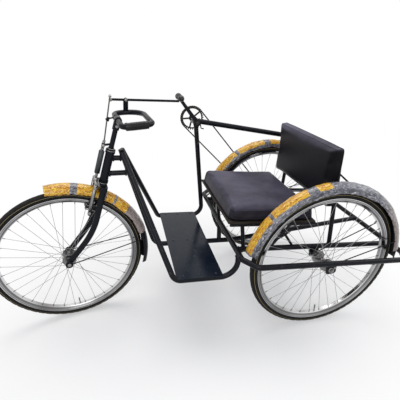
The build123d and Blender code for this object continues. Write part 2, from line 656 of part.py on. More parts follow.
arm = eye_a + web + eye_b - bar(CRANK_X, CRANK_Z, arm_y0 - 10, arm_y0 + 30, SPINDLE_R + 0.02)
save("chainwheel", Pos(CRANK_X, chain_y, CRANK_Z) * chainwheel + spindle)
save("crank_arm", arm)
knob_y0 = arm_y0 + CRANK_ARM_T
knob = revolve(
    make_face(
        Polyline(
            (0, 0), (KNOB_R - 4, 0), (KNOB_R, 5), (KNOB_R - 1, 50), (KNOB_R, KNOB_LEN - 14),
            (KNOB_R - 5, KNOB_LEN - 2), (0, KNOB_LEN), close=True,
        )
    ),
    Axis.Y,
    360,
)
save("crank_grip", Pos(grip_x, knob_y0 + PIECE_GAP / 3, grip_z) * knob)

# Fork: steerer, crown, two curved blades and the tips that hold the axle
steerer = rod(steer_point(CROWN_Z), steer_point(STEERER_TOP_Z), STEERER_R)
crown_plane = Plane(origin=steer_point(CROWN_Z), x_dir=(math.sin(head_rad), 0, math.cos(head_rad)), z_dir=steer_up)
crown = crown_plane * fillet(Box(*CROWN_SIZE).edges().filter_by(Axis.Z), 10)
blades = []
tip_dir = Vector(0.68, 0, -0.733)
for side in (1, -1):
    y = side * BLADE_Y
    end = Vector(WHEELBASE - 8, y, WHEEL_R + 9)
    path = [steer_point(CROWN_Z, y=y), steer_point(BLADE_BEND_Z, y=y), end]
    tip = bar(WHEELBASE, WHEEL_R, y - TIP_T / 2, y + TIP_T / 2, TIP_R)
    line = FilletPolyline(*path, radius=[BLADE_BEND_R])
    oval = Plane(origin=line @ 0, x_dir=(0, 1, 0), z_dir=line % 0) * Ellipse(BLADE_HALF_T, BLADE_R)
    blades.append(sweep(oval, path=line) + tip)
front_hole = bar(WHEELBASE, WHEEL_R, -90, 90, axle_r + PIECE_GAP / 3)
clear_hub = bar(WHEELBASE, WHEEL_R, -BLADE_Y + TIP_T / 2, BLADE_Y - TIP_T / 2, TIP_R + 6)
clear_out = [bar(WHEELBASE, WHEEL_R, s * (BLADE_Y + TIP_T / 2), s * (BLADE_Y + 30), TIP_R) for s in (1, -1)]
guard_boss = rod(
    Vector(WHEELBASE, 0, WHEEL_R) + guard_point(-30.5, GUARD_R + PIECE_GAP),
    Vector(WHEELBASE, 0, WHEEL_R) + guard_point(-30.5, GUARD_R + 12),
    6,
)
nut_plane = Plane(origin=steer_point(HEAD_HIGH_Z) + steer_up * 2 * PIECE_GAP, z_dir=steer_up)
lock_nut = nut_plane * extrude(RegularPolygon(LOCK_NUT[0], 6), LOCK_NUT[1])
fork = steerer + crown + blades[0] + blades[1] + guard_boss + lock_nut
fork = fork - front_hole - clear_hub - clear_out[0] - clear_out[1]
save("fork", steered(fork))

tip_in = BLADE_Y - TIP_T / 2
tip_out = BLADE_Y + TIP_T / 2
front_axle = bar(WHEELBASE, WHEEL_R, -tip_out - 17, tip_out + 17, axle_r)
for s in (1, -1):
    front_axle += bar(WHEELBASE, WHEEL_R, s * (FRONT_HUB_HALF + PIECE_GAP), s * tip_in, 8.5)
    front_axle += Pos(WHEELBASE, s * (tip_out + 4), WHEEL_R) * extrude(Plane.XZ * RegularPolygon(9.5, 6), 4, both=True)
save("front_axle", steered(front_axle))

# Front mudguard with stays to the axle ends
front_sheet = Pos(WHEELBASE, 0, WHEEL_R) * guard(FRONT_GUARD_ARC)
stay_y = tip_out + 8 + STAY_R + PIECE_GAP
for s in (1, -1):
    tip = Vector(WHEELBASE, 0, WHEEL_R) + guard_point(-84, GUARD_R - GUARD_DROP + 8, s * (GUARD_HALF_W - 2))
    bend = Vector(WHEELBASE - 16, s * stay_y, WHEEL_R)
    front_sheet += rod(bend, tip, STAY_R)
    eye = bar(WHEELBASE, WHEEL_R, s * (tip_out + 8 + PIECE_GAP), s * (stay_y + STAY_R), 18)
    front_sheet += eye - front_hole
save("mudguard_front", steered(front_sheet))

# Stem and closed handle loop
loop_front = steer_point(HANDLE_Z).X
loop_rear = loop_front - HANDLE_DEPTH


def loop_path(side):
    half_w = side * HANDLE_HALF_W
    return [(loop_front, 0, HANDLE_Z), (loop_front, half_w, HANDLE_Z), (loop_rear, half_w, HANDLE_Z), (loop_rear, 0, HANDLE_Z)]


half_loops = [tube(loop_path(side), LOOP_BENDS[side], HANDLE_R) for side in (1, -1)]
stem = rod(steer_point(STEERER_TOP_Z), steer_point(HANDLE_Z - 4), STEM_R)
clamp = rod((loop_front, -20, HANDLE_Z), (loop_front, 20, HANDLE_Z), HANDLE_R + 4)
lug = rod(steer_point(HANDLE_Z - 40), steer_point(HANDLE_Z - 6), STEM_R + 4)
fulcrum_x = loop_front - FULCRUM_BACK


def lever_z(x):
    return LEVER_Z - LEVER_DROP * (loop_front + LEVER_FRONT - x) / LEVER_LEN


boss_y = LEVER_Y - LEVER_BAR[1] / 2 - PIECE_GAP
fulcrum = rod((fulcrum_x, -HANDLE_HALF_W, HANDLE_Z), (fulcrum_x, boss_y - 4, lever_z(fulcrum_x) - 3), 6)
boss = bar(fulcrum_x, lever_z(fulcrum_x), boss_y - 7, boss_y, 8)
guide = rod(steer_point(GUIDE_Z), steer_point(GUIDE_Z, ROD_OFFSET), 5)
guide += rod(steer_point(GUIDE_Z - 7, ROD_OFFSET), steer_point(GUIDE_Z + 7, ROD_OFFSET), 7)
guide -= rod(steer_point(GUIDE_Z - 20, ROD_OFFSET), steer_point(GUIDE_Z + 20, ROD_OFFSET), ROD_R + PIECE_GAP)
handle = half_loops[0] + half_loops[1] + stem + clamp + lug + fulcrum + boss + guide
save("handle_loop", steered(handle))
grip_mid_x = (loop_front + loop_rear) / 2
grip_zone = Pos(grip_mid_x + 4, HANDLE_HALF_W, HANDLE_Z) * Box(GRIP_LEN, 4 * GRIP_R, 4 * GRIP_R)
grip = tube(loop_path(1), LOOP_BENDS[1], GRIP_R) - tube(loop_path(1), LOOP_BENDS[1], HANDLE_R)
save("handle_grip", steered(grip & grip_zone))

# Rod brake: lever, pull rod, guide, and the stirrup with its two pads under the front rim
lever_x1 = loop_front + LEVER_FRONT
lever_slope = math.degrees(math.atan(LEVER_DROP / LEVER_LEN))
lever_bar = Pos(-LEVER_LEN / 2, 0, 0) * Box(LEVER_LEN, LEVER_BAR[1], LEVER_BAR[0])
lever = Pos(lever_x1, LEVER_Y, LEVER_Z) * Rot(Y=-lever_slope) * lever_bar
save("brake_lever", steered(lever))
rod_low = steer_point(GUIDE_Z + 26, ROD_OFFSET)
rod_top = Vector(lever_x1 - 6, LEVER_Y + LEVER_BAR[1] / 2 + ROD_R + PIECE_GAP, LEVER_Z + 14)
pull = tube([rod_top, rod_low, steer_point(STIRRUP_TOP_Z + 12, ROD_OFFSET)], [24], ROD_R)
sleeve = rod(steer_point(SLEEVE_Z[0], ROD_OFFSET), steer_point(SLEEVE_Z[1], ROD_OFFSET), SLEEVE_R)
save("brake_rod", steered(pull + sleeve))
low_a = steer_point(STIRRUP_LOW_Z, ROD_OFFSET, STIRRUP_Y)
top_a = steer_point(STIRRUP_TOP_Z, ROD_OFFSET, STIRRUP_Y)
top_b = steer_point(STIRRUP_TOP_Z, ROD_OFFSET, -STIRRUP_Y)
low_b = steer_point(STIRRUP_LOW_Z, ROD_OFFSET, -STIRRUP_Y)
stirrup = tube([low_a, top_a, top_b, low_b], [14, 14], STIRRUP_R)
nut_block = rod(steer_point(STIRRUP_TOP_Z + 3, ROD_OFFSET), steer_point(STIRRUP_TOP_Z + 12 - PIECE_GAP, ROD_OFFSET), 6)
pad_angle = math.degrees(math.atan2(low_a.X - WHEELBASE, STIRRUP_LOW_Z - WHEEL_R))
for s in (1, -1):
    holder_from = steer_point(STIRRUP_LOW_Z, ROD_OFFSET, s * STIRRUP_Y)
    pad_at = Vector(WHEELBASE, 0, WHEEL_R) + guard_point(pad_angle, PAD_R, s * PAD_Y)
    stirrup += rod(holder_from, pad_at, STIRRUP_R)
    stirrup += Pos(*holder_from) * Sphere(STIRRUP_R)
stirrup += nut_block
pads = []
for s in (1, -1):
    place = Pos(WHEELBASE, s * PAD_Y, WHEEL_R) * Rot(Y=pad_angle) * Pos(0, 0, PAD_R)
    pads.append(place * Box(*PAD_SIZE))
stirrup = stirrup - pads[0] - pads[1]
save("brake_stirrup", steered(stirrup))
save("brake_pads", *[steered(pad) for pad in pads])
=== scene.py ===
import json
import math

import bpy
from mathutils import Matrix, Vector
from mathutils.bvhtree import BVHTree
from mathutils.noise import noise


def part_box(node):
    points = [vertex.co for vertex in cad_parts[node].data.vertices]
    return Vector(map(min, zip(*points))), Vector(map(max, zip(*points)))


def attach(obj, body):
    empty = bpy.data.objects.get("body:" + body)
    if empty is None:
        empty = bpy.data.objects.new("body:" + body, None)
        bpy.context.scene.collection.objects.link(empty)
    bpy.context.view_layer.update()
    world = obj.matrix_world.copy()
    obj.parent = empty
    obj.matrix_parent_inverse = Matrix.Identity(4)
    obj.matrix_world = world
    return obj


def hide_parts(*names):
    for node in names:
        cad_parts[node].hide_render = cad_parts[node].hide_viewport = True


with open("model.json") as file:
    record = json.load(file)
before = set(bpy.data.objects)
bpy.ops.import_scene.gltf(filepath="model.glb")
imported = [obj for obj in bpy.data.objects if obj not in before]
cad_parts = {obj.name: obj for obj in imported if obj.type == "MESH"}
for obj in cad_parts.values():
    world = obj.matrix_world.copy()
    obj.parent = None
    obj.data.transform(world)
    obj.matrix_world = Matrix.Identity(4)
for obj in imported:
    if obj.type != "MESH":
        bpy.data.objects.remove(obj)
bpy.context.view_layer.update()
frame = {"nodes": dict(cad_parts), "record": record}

# Frame tubes: mild steel tube, notched and welded, then brushed with thick black enamel.
# The coat is glossy with a blue cast, uneven from the brush, dusty on top and chipped at
# the edges, where bare steel shows.
nodes = frame["nodes"]


def add(tree, kind, **settings):
    node = tree.nodes.new("ShaderNode" + kind)
    for key, value in settings.items():
        setattr(node, key, value)
    return node


def feed(tree, socket, value):
    """Sets an input to a constant, or wires it to another node's output."""
    if value is None:
        return
    if hasattr(value, "is_output"):
        tree.links.new(value, socket)
    elif socket.type == "RGBA":
        socket.default_value = (*value[:3], 1.0)
    else:
        socket.default_value = value


def give(tree, node, *in_order, **by_name):
    """Feeds a node's inputs, in their order or by name with an underscore for each space."""
    for socket, value in zip(node.inputs, in_order):
        feed(tree, socket, value)
    for key, value in by_name.items():
        feed(tree, node.inputs[key.replace("_", " ")], value)
    return node


def math_node(tree, operation, *values, clamp=False):
    return give(tree, add(tree, "Math", operation=operation, use_clamp=clamp), *values).outputs[0]


def blend_colour(tree, factor, first, second):
    node = add(tree, "Mix", data_type="RGBA")
    # The colours of a Mix node are its seventh and eighth inputs.
    for number, value in ((0, factor), (6, first), (7, second)):
        feed(tree, node.inputs[number], value)
    return node.outputs[2]


def ramp(tree, value, stops):
    """Grey levels or colours by place along a ramp."""
    node = give(tree, add(tree, "ValToRGB"), value)
    elements = node.color_ramp.elements
    while len(elements) < len(stops):
        elements.new(0.5)
    for element, (place, level) in zip(elements, stops):
        element.position = place
        element.color = (*level, 1.0) if isinstance(level, tuple) else (level, level, level, 1.0)
    return node.outputs[0]


def noise_texture(tree, scale, detail=2.0, roughness=0.5):
    """Even noise in the object's own coordinates."""
    place = add(tree, "TexCoord").outputs["Object"]
    texture = add(tree, "TexNoise")
    return give(tree, texture, Vector=place, Scale=scale, Detail=detail, Roughness=roughness).outputs[0]


def effect_group(name, inputs, outputs):
    group = bpy.data.node_groups.new(name, "ShaderNodeTree")
    for label, kind, value in inputs:
        socket = group.interface.new_socket(label, in_out="INPUT", socket_type="NodeSocket" + kind)
        socket.default_value = value
    for label, kind in outputs:
        group.interface.new_socket(label, in_out="OUTPUT", socket_type="NodeSocket" + kind)
    return group, group.nodes.new("NodeGroupInput"), group.nodes.new("NodeGroupOutput")


def use_group(tree, group, **values):
    return give(tree, add(tree, "Group", node_tree=group), **values)


def settled_dust_and_sheen():
    """Dust that lies in patches on faces that look up, less on upright ones; the vinyl's is a painted
    sheen.
    """
    group, given, out = effect_group(
        "settled dust and sheen",
        [
            ("Base", "Color", (0.01, 0.01, 0.01, 1)), ("Dust", "Color", (0.22, 0.20, 0.18, 1)),
            ("Amount", "Float", 0.1), ("Scale", "Float", 18.0), ("Upright Share", "Float", 0.3),
        ],
        [("Colour", "Color"), ("Mask", "Float")],
    )
    upright = given.outputs["Upright Share"]
    facing = give(group, add(group, "SeparateXYZ"), add(group, "NewGeometry").outputs["Normal"])
    slope = math_node(group, "SUBTRACT", 1.0, upright)
    upward = math_node(group, "MULTIPLY_ADD", facing.outputs["Z"], slope, upright, clamp=True)
    speckle = noise_texture(group, given.outputs["Scale"], 8.0, 0.65)
    patches = ramp(group, speckle, [(0.34, 0.15), (0.70, 1.0)])
    mask = math_node(group, "MULTIPLY", upward, patches)
    mask = math_node(group, "MULTIPLY", mask, given.outputs["Amount"], clamp=True)
    colour = blend_colour(group, mask, given.outputs["Base"], given.outputs["Dust"])
    give(group, out, Colour=colour, Mask=mask)
    return group


def relief(tree, height, strength, distance, under=None):
    """A bump from a height in metres, on top of another bump where one is given."""
    node = add(tree, "Bump")
    give(tree, node, Strength=strength, Distance=distance, Height=height, Normal=under)
    return node.outputs[0]


def fine_bump():
    """Fine unevenness of a surface as a normal."""
    group, given, out = effect_group(
        "fine bump",
        [("Scale", "Float", 60.0), ("Strength", "Float", 0.2), ("Depth", "Float", 0.0005)],
        [("Normal", "Vector")],
    )
    height = noise_texture(group, given.outputs["Scale"], 6.0)
    give(group, out, Normal=relief(group, height, given.outputs["Strength"], given.outputs["Depth"]))
    return group


def rubbed_edges():
    """Chips and rubbed places, most of them at sharp edges."""
    group, given, out = effect_group(
        "rubbed edges",
        [("Scale", "Float", 40.0), ("Amount", "Float", 0.5)],
        [("Mask", "Float")],
    )
    edge = ramp(group, add(group, "NewGeometry").outputs["Pointiness"], [(0.50, 0.0), (0.60, 1.0)])
    edge = math_node(group, "MULTIPLY_ADD", edge, 0.7, 0.10)
    chips = noise_texture(group, given.outputs["Scale"], 10.0, 0.75)
    chips = ramp(group, chips, [(0.60, 0.0), (0.68, 1.0)])
    mask = math_node(group, "MULTIPLY", edge, chips)
    give(group, out, Mask=math_node(group, "MULTIPLY", mask, given.outputs["Amount"], clamp=True))
    return group


dust_and_sheen_group = settled_dust_and_sheen()
bump_group = fine_bump()
wear_group = rubbed_edges()


def uneven(tree, scale, strength, depth):
    return use_group(tree, bump_group, Scale=scale, Strength=strength, Depth=depth).outputs["Normal"]


def new_material(name, roughness, metallic=0.0, specular=0.5, sheen=0.0, coat=0.0):
    material = bpy.data.materials.new(name)
    material.use_nodes = True
    tree = material.node_tree
    shader = give(
        tree, tree.nodes["Principled BSDF"],
        Metallic=metallic, Roughness=roughness, Specular_IOR_Level=specular,
        Sheen_Weight=sheen, Coat_Weight=coat, Coat_Roughness=0.1,
    )
    return material, tree, shader


def enamel(name, base, dust=0.05, roughness=0.24, specular=0.13, chips=0.5):
    """Enamel with settled dust, and bare steel in its chips."""
    material, tree, shader = new_material(name, roughness=roughness, specular=specular)
    dust_and_sheen = use_group(tree, dust_and_sheen_group, Base=base, Amount=dust, Scale=14.0)
    wear = use_group(tree, wear_group, Scale=55.0, Amount=chips).outputs["Mask"]
    rough = math_node(tree, "MULTIPLY_ADD", dust_and_sheen.outputs["Mask"], 1.4, roughness, clamp=True)
    give(
        tree, shader,
        Base_Color=blend_colour(tree, wear, dust_and_sheen.outputs["Colour"], (0.20, 0.17, 0.15)),
        Roughness=math_node(tree, "MULTIPLY_ADD", wear, 0.3, rough, clamp=True),
        Normal=uneven(tree, 30.0, 0.25, 0.0006),
    )
    return material


def finish_nodes(material, *names):
    for name in names:
        for place in nodes[name].material_slots:
            place.material = material


black_enamel = enamel("black enamel", (0.0040, 0.0050, 0.0085))
finish_nodes(
    black_enamel,
    "head_tube", "down_tube", "keel_tube", "side_braces", "foot_rails", "crank_post",
    "front_cross_tube", "rear_cross_tube", "outer_rails", "inner_rails", "rail_corners",
    "seat_rails", "seat_cross_bars", "seat_braces", "top_tube", "crank_bearing",
)

# Weld beads: a ring of melted steel where each tube meets the next one, laid by hand with a
# torch, so the ripples are uneven. They are under the same enamel.
joints = {joint["name"]: joint for joint in frame["record"]["behaviour"]["joints"]}
rear_axle_x = joints["left_wheel_spin"]["pos_m"][0]
WHEELBASE = 1165.0
AXLE_HEIGHT = 355.0
RAIL_LIFT = 33.0
RAIL_SLOPE = 0.126
INNER_RAIL_Y = 275.0
FRONT_CROSS_X, REAR_CROSS_X = 398.0, -430.0
HEAD_LEAN = math.radians(70.0)
HEAD_OFFSET = 76.0
HEAD_FOOT_X = WHEELBASE - HEAD_OFFSET / math.sin(HEAD_LEAN)


def at(x, y, z):
    """A point in millimetres from the ground under the rear axles."""
    return Vector((x * 0.001 + rear_axle_x, y * 0.001, z * 0.001))


def rail_height(x):
    return AXLE_HEIGHT + RAIL_LIFT + RAIL_SLOPE * x


def head_x(z, ahead=0.0):
    """How far forward the steering head's middle line is at height z, or a line ahead of it."""
    return HEAD_FOOT_X - (z - AXLE_HEIGHT) / math.tan(HEAD_LEAN) + ahead / math.sin(HEAD_LEAN)


def mesh_piece(name, points, faces, material, body, smooth=True):
    """Makes a piece of points in metres, which rides a body."""
    mesh = bpy.data.meshes.new(name)
    mesh.from_pydata([tuple(point) for point in points], [], faces)
    mesh.validate()
    if smooth:
        mesh.shade_smooth()
    piece = bpy.data.objects.new(name, mesh)
    bpy.context.scene.collection.objects.link(piece)
    piece.data.materials.append(material)
    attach(piece, body)
    return piece


def ring_points(centre, along, radius, count):
    along = along.normalized()
    side = along.orthogonal().normalized()
    other = along.cross(side)
    angles = [math.tau * i / count for i in range(count)]
    return [centre + (side * math.cos(angle) + other * math.sin(angle)) * radius for angle in angles]


def pipe(points, faces, path, radius, count, closed=False):
    """Adds a round pipe along a list of points."""
    first = len(points)
    total = len(path)
    normal = None
    for i, point in enumerate(path):
        ahead = path[(i + 1) % total] if closed or i < total - 1 else point
        behind = path[i - 1] if closed or i else point
        along = (ahead - behind).normalized()
        if normal is None:
            normal = along.orthogonal().normalized()
        else:
            normal = (normal - along * normal.dot(along)).normalized()
        other = along.cross(normal)
        for k in range(count):
            angle = math.tau * k / count
            points.append(point + (normal * math.cos(angle) + other * math.sin(angle)) * radius)
    for i in range(total if closed else total - 1):
        for k in range(count):
            a, b = first + i * count + k, first + i * count + (k + 1) % count
            c = first + ((i + 1) % total) * count
            faces.append((a, b, c + (k + 1) % count, c + k))
    if not closed:
        faces.append(tuple(range(first + count - 1, first - 1, -1)))
        faces.append(tuple(range(first + (total - 1) * count, first + total * count)))


def bead(points, faces, centre, along, radius, thick=0.0021):
    """Adds a weld bead, whose ripples go in and out and to and fro."""
    along = along.normalized()
    path = []
    for k, point in enumerate(ring_points(centre, along, radius, 44)):
        in_out = (point - centre).normalized() * 0.0006 * math.sin(2.3 * k)
        to_fro = along * 0.0004 * math.cos(3.1 * k)
        path.append(point + in_out + to_fro)
    pipe(points, faces, path, thick, 7, closed=True)


points, faces = [], []
forward, upward = Vector((1, 0, 0)), Vector((0, 0, 1))
# From a cross tube's middle line to the beads on its wall
CROSS_WALL = 13.0
for side in (1, -1):
    for x in (FRONT_CROSS_X - CROSS_WALL, REAR_CROSS_X + CROSS_WALL):
        bead(points, faces, at(x, side * INNER_RAIL_Y, rail_height(x)), forward, 0.0130)
    front_foot = at(364, side * INNER_RAIL_Y, rail_height(364) + 13.5)
    bead(points, faces, front_foot, upward, 0.0094, 0.0018)
    bead(points, faces, at(-78, side * (INNER_RAIL_Y - 1), 392), upward, 0.0104, 0.0018)
rear_middle = at(REAR_CROSS_X + CROSS_WALL, 0, rail_height(REAR_CROSS_X))
bead(points, faces, rear_middle, forward, 0.0130)
# Beads of single joints: place in mm, way the bead faces, radius and thickness in metres
for place, along, radius, thick in (
    (at(399, 310, 425), upward, 0.0130, 0.0021),
    (at(399, 0, 425), upward, 0.0120, 0.0021),
    (at(399, 0, 451), upward, 0.0084, 0.0018),
    (at(443.5, -310, 880), upward, 0.0132, 0.0024),
    (at(426.5, -310, 897.5), Vector((0.975, 0, 0.222)), 0.0144, 0.0024),
):
    bead(points, faces, place, along, radius, thick)
# The two links between the down tube and the head
for back_x, back_z, front_z in ((844.3, 828.0, 834.0), (829.2, 757.0, 763.0)):
    start, end = at(back_x, 0, back_z), at(head_x(front_z), 0, front_z)
    run = (end - start).normalized()
    bead(points, faces, start + run * 0.0150, run, 0.0128, 0.0034)
    bead(points, faces, end - run * 0.0200, run, 0.0128, 0.0034)
mesh_piece("weld_beads", points, faces, black_enamel, "frame")

# Footplate: one sheet of steel on the centre tube and both side tubes, with navy-black
# enamel that the feet keep shiny. Round-headed rivets hold it to the tubes.
floor_enamel = enamel(
    "footplate enamel", (0.0045, 0.009, 0.019), dust=0.03, roughness=0.16, specular=0.22, chips=0.3
)
finish_nodes(floor_enamel, "footplate")


def lathe(points, faces, start, along, profile, count):
    """Adds a turned solid: profile is a list of (distance along, radius) from one end on."""
    along = along.normalized()
    first = len(points)
    for distance, radius in profile:
        points.extend(ring_points(start + along * distance, along, max(radius, 1e-5), count))
    for row in range(len(profile) - 1):
        for i in range(count):
            a = first + row * count + i
            b = first + row * count + (i + 1) % count
            faces.append((a, b, b + count, a + count))
    faces.append(tuple(range(first + count - 1, first - 1, -1)))
    last = first + (len(profile) - 1) * count
    faces.append(tuple(range(last, last + count)))


PLATE_REAR_X, PLATE_REAR_Z, PLATE_SLOPE = 330.0, 312.0, 0.0969
plate_normal = Vector((-PLATE_SLOPE, 0, 1)).normalized()
dome = [(-0.0006, 0.0062), (0.0004, 0.0062), (0.0016, 0.0050), (0.0024, 0.0028), (0.0027, 0.0004)]
points, faces = [], []
for x in (500.0, 578.0, 650.0):
    for y in (-300.0, 0.0, 300.0):
        tube_top = at(x, y, PLATE_REAR_Z + PLATE_SLOPE * (x - PLATE_REAR_X))
        lathe(points, faces, tube_top + plate_normal * 0.0152, plate_normal, dome, 16)
mesh_piece("footplate_rivets", points, faces, floor_enamel, "frame")

# Hangers and rear axles: flat steel plates welded under the rails, with a fixed axle bolted
# through each pair. Hanger plates are enamelled, the axles, nuts and washers are zinc plated.
ROAD_DUST = (0.20, 0.16, 0.12)
RUST = (0.16, 0.08, 0.04)


def worn_metal(tree, shader, base, roughness, spots, scale, dust=0.30, bump=(90.0, 0.18, 0.0003)):
    """Gives steel its dust, rusty specks and fine unevenness."""
    wear = use_group(tree, wear_group, Scale=scale, Amount=spots).outputs["Mask"]
    dust_and_sheen = use_group(tree, dust_and_sheen_group, Base=base, Dust=ROAD_DUST, Amount=dust, Scale=24.0)
    give(
        tree, shader,
        Base_Color=blend_colour(tree, wear, dust_and_sheen.outputs["Colour"], RUST),
        Roughness=math_node(tree, "MULTIPLY_ADD", dust_and_sheen.outputs["Mask"], 0.8, roughness, clamp=True),
        Normal=uneven(tree, *bump),
    )


def plated(name, base, roughness, spots=0.5, scale=45.0):
    """Plated or bare steel in one colour."""
    material, tree, shader = new_material(name, metallic=1.0, roughness=roughness)
    worn_metal(tree, shader, base, roughness, spots, scale)
    return material


zinc = plated("zinc plate", (0.27, 0.27, 0.27), 0.32)
finish_nodes(black_enamel, "axle_hangers")
finish_nodes(zinc, "rear_axles")

washer = [(-0.0002, 0.0060), (-0.0001, 0.0130), (0.0013, 0.0130), (0.0014, 0.0060)]
stay_bolt = [(0, 0.0062), (0.0040, 0.0062), (0.0042, 0.0030), (0.0070, 0.0030)]
points, faces = [], []
for side in (1, -1):
    for face_y, way in ((277.5, -side), (419.5, side)):
        place = at(0, side * face_y + way * 5.0, AXLE_HEIGHT)
        lathe(points, faces, place, Vector((0, way, 0)), washer, 28)
    for rail_y, way in ((INNER_RAIL_Y, 1), (422.0, -1)):
        # The bolt that holds the mudguard stay to the hanger
        place = at(-14, side * (rail_y - way * 4.0), AXLE_HEIGHT + 12)
        lathe(points, faces, place, Vector((0, -way * side, 0)), stay_bolt, 6)
mesh_piece("hanger_washers", points, faces, zinc, "frame")

# Rims and hubs: rims are rolled from steel strip and chromed, hubs are turned steel with
# drilled flanges. The chrome has road dust in places and painted reflections in rings, bright
# along its lips and dark on the flats.
steer_point = Vector(joints["steering_turn"]["pos_m"])
steer_axis = Vector(joints["steering_turn"]["axis"])
STEER_REST = math.radians(8.0)
# Per wheel: its body, its centre, its turn about the steering axis and half its hub in mm
WHEELS = {
    "front": ("front_wheel", Vector(joints["front_wheel_spin"]["pos_m"]), STEER_REST, 36.0),
    "rear_left": ("wheel_left", Vector(joints["left_wheel_spin"]["pos_m"]), 0.0, 47.0),
    "rear_right": ("wheel_right", Vector(joints["right_wheel_spin"]["pos_m"]), 0.0, 47.0),
}
chrome = plated("dusty chrome", (0.21, 0.21, 0.22), 0.12, spots=0.35)
hub_steel = plated("hub steel", (0.19, 0.19, 0.195), 0.26)


def wheel_matrix(name):
    """Moves a piece built round the origin, with its axle along Y, to its wheel."""
    _, centre, turn, _ = WHEELS[name]
    return Matrix.Translation(centre) @ Matrix.Rotation(turn, 4, steer_axis)


def place_on_wheel():
    """Angle forward from the top in turns, radius and sideways distance in metres."""
    group, given, out = effect_group(
        "place on wheel",
        [("Centre", "Vector", (0, 0, 0)), ("Axis", "Vector", (0, 0, 1)), ("Turn", "Float", 0.0)],
        [("Angle", "Float"), ("Radius", "Float"), ("Side", "Float")],
    )
    place = add(group, "TexCoord").outputs["Object"]
    shift = give(group, add(group, "VectorMath", operation="SUBTRACT"), place, given.outputs["Centre"])
    unturn = give(
        group, add(group, "VectorRotate", rotation_type="AXIS_ANGLE"),
        Vector=shift.outputs[0], Axis=given.outputs["Axis"], Angle=given.outputs["Turn"],
    )
    x, y, z = give(group, add(group, "SeparateXYZ"), unturn.outputs[0]).outputs
    square = math_node(group, "MULTIPLY_ADD", x, x, math_node(group, "MULTIPLY", z, z))
    give(
        group, out,
        Angle=math_node(group, "DIVIDE", math_node(group, "ARCTAN2", x, z), math.tau),
        Radius=math_node(group, "SQRT", square),
        Side=y,
    )
    return group


polar_group = place_on_wheel()


def wheel_place(tree, name):
    _, centre, turn, _ = WHEELS[name]
    return use_group(tree, polar_group, Centre=tuple(centre), Axis=tuple(steer_axis), Turn=-turn)


def rim_chrome(name):
    """Chrome with painted reflections: bright rings on the lips and inner bead, dark between, dimmer in
    patches.
    """
    material, tree, shader = new_material("rim chrome " + name, metallic=1.0, roughness=0.12)
    radius = math_node(tree, "SUBTRACT", wheel_place(tree, name).outputs["Radius"], 0.300)
    # Painted reflection: rings by radius, bright on the lips and the inner bead, dark on the flats.
    band = ramp(
        tree, math_node(tree, "MULTIPLY", radius, 35.0),
        [
            (0.14, 0.80), (0.22, 0.95), (0.30, 0.10), (0.52, 0.16),
            (0.62, 0.55), (0.72, 0.08), (0.80, 0.30), (0.88, 0.90),
        ],
    )
    patches = ramp(tree, noise_texture(tree, 5.0, 3.0), [(0.36, 0.35), (0.62, 1.0)])
    painted_shine = math_node(tree, "MULTIPLY", band, patches)
    bright = blend_colour(tree, painted_shine, (0.080, 0.080, 0.086), (0.86, 0.86, 0.87))
    worn_metal(tree, shader, bright, 0.12, 0.35, 45.0, dust=0.25, bump=(60.0, 0.20, 0.0004))
    return material


dust_cap = [(0, 0.0168), (0.0004, 0.0178), (0.0034, 0.0178), (0.0050, 0.0168)]
oil_clip = [(0, 0.0138), (0.0003, 0.0148), (0.0117, 0.0148), (0.0120, 0.0138)]
for name, (body, _, _, hub_half) in WHEELS.items():
    finish_nodes(rim_chrome(name), "rim_" + name)
    finish_nodes(hub_steel, "hub_" + name)
    matrix = wheel_matrix(name)
    across = (matrix.to_3x3() @ Vector((0, 1, 0))).normalized()
    points, faces = [], []
    for side in (1, -1):
        # A bright dust cap at each end of the hub
        cap = matrix @ Vector((0, side * (hub_half - 6) * 0.001, 0))
        lathe(points, faces, cap, across * side, dust_cap, 32)
    # A clip over the oil hole in the middle
    lathe(points, faces, matrix @ Vector((0, -0.006, 0)), across, oil_clip, 32)
    mesh_piece("hub_caps_" + name, points, faces, chrome, body)

# Spokes, nipples and valves: drawn steel wire, crossed and screwed into nipples under the
# rim. A zinc valve stem comes through the rim of each wheel.
spoke_steel = plated("spoke wire", (0.30, 0.30, 0.31), 0.25, spots=0.2, scale=80.0)
finish_nodes(spoke_steel, "spokes_front", "spokes_rear_left", "spokes_rear_right")
HOLES_A_SIDE = 18
SPOKE_START, SPOKE_CROSS = 5.0, 60.0
NIPPLE_FOOT_R, NIPPLE_HEAD_R = 0.292, 0.3045
nipple = [(0, 0.0014), (0.001, 0.0019), (0.0125, 0.0021)]
valve_stem = [
    (0, 0.0042), (0.002, 0.0042), (0.0022, 0.0031), (0.026, 0.0031),
    (0.0262, 0.0038), (0.036, 0.0038), (0.037, 0.002),
]
hole_step = 360.0 / HOLES_A_SIDE
for name, (body, *_) in WHEELS.items():
    matrix = wheel_matrix(name)
    points, faces = [], []
    for side in (1, -1):
        for hole in range(HOLES_A_SIDE):
            root = SPOKE_START + hole_step * hole + (0 if side > 0 else hole_step / 2)
            rim_angle = math.radians(root + (SPOKE_CROSS if hole % 2 else -SPOKE_CROSS))
            outward = Vector((math.cos(rim_angle), 0, math.sin(rim_angle)))
            start = matrix @ (outward * NIPPLE_FOOT_R + Vector((0, side * 0.0013, 0)))
            end = matrix @ (outward * NIPPLE_HEAD_R)
            lathe(points, faces, start, end - start, nipple, 8)
    valve_at = matrix @ Vector((0, 0, -NIPPLE_HEAD_R))
    lathe(points, faces, valve_at, matrix.to_3x3() @ Vector((0, 0, 1)), valve_stem, 12)
    mesh_piece("nipples_" + name, points, faces, zinc, body)

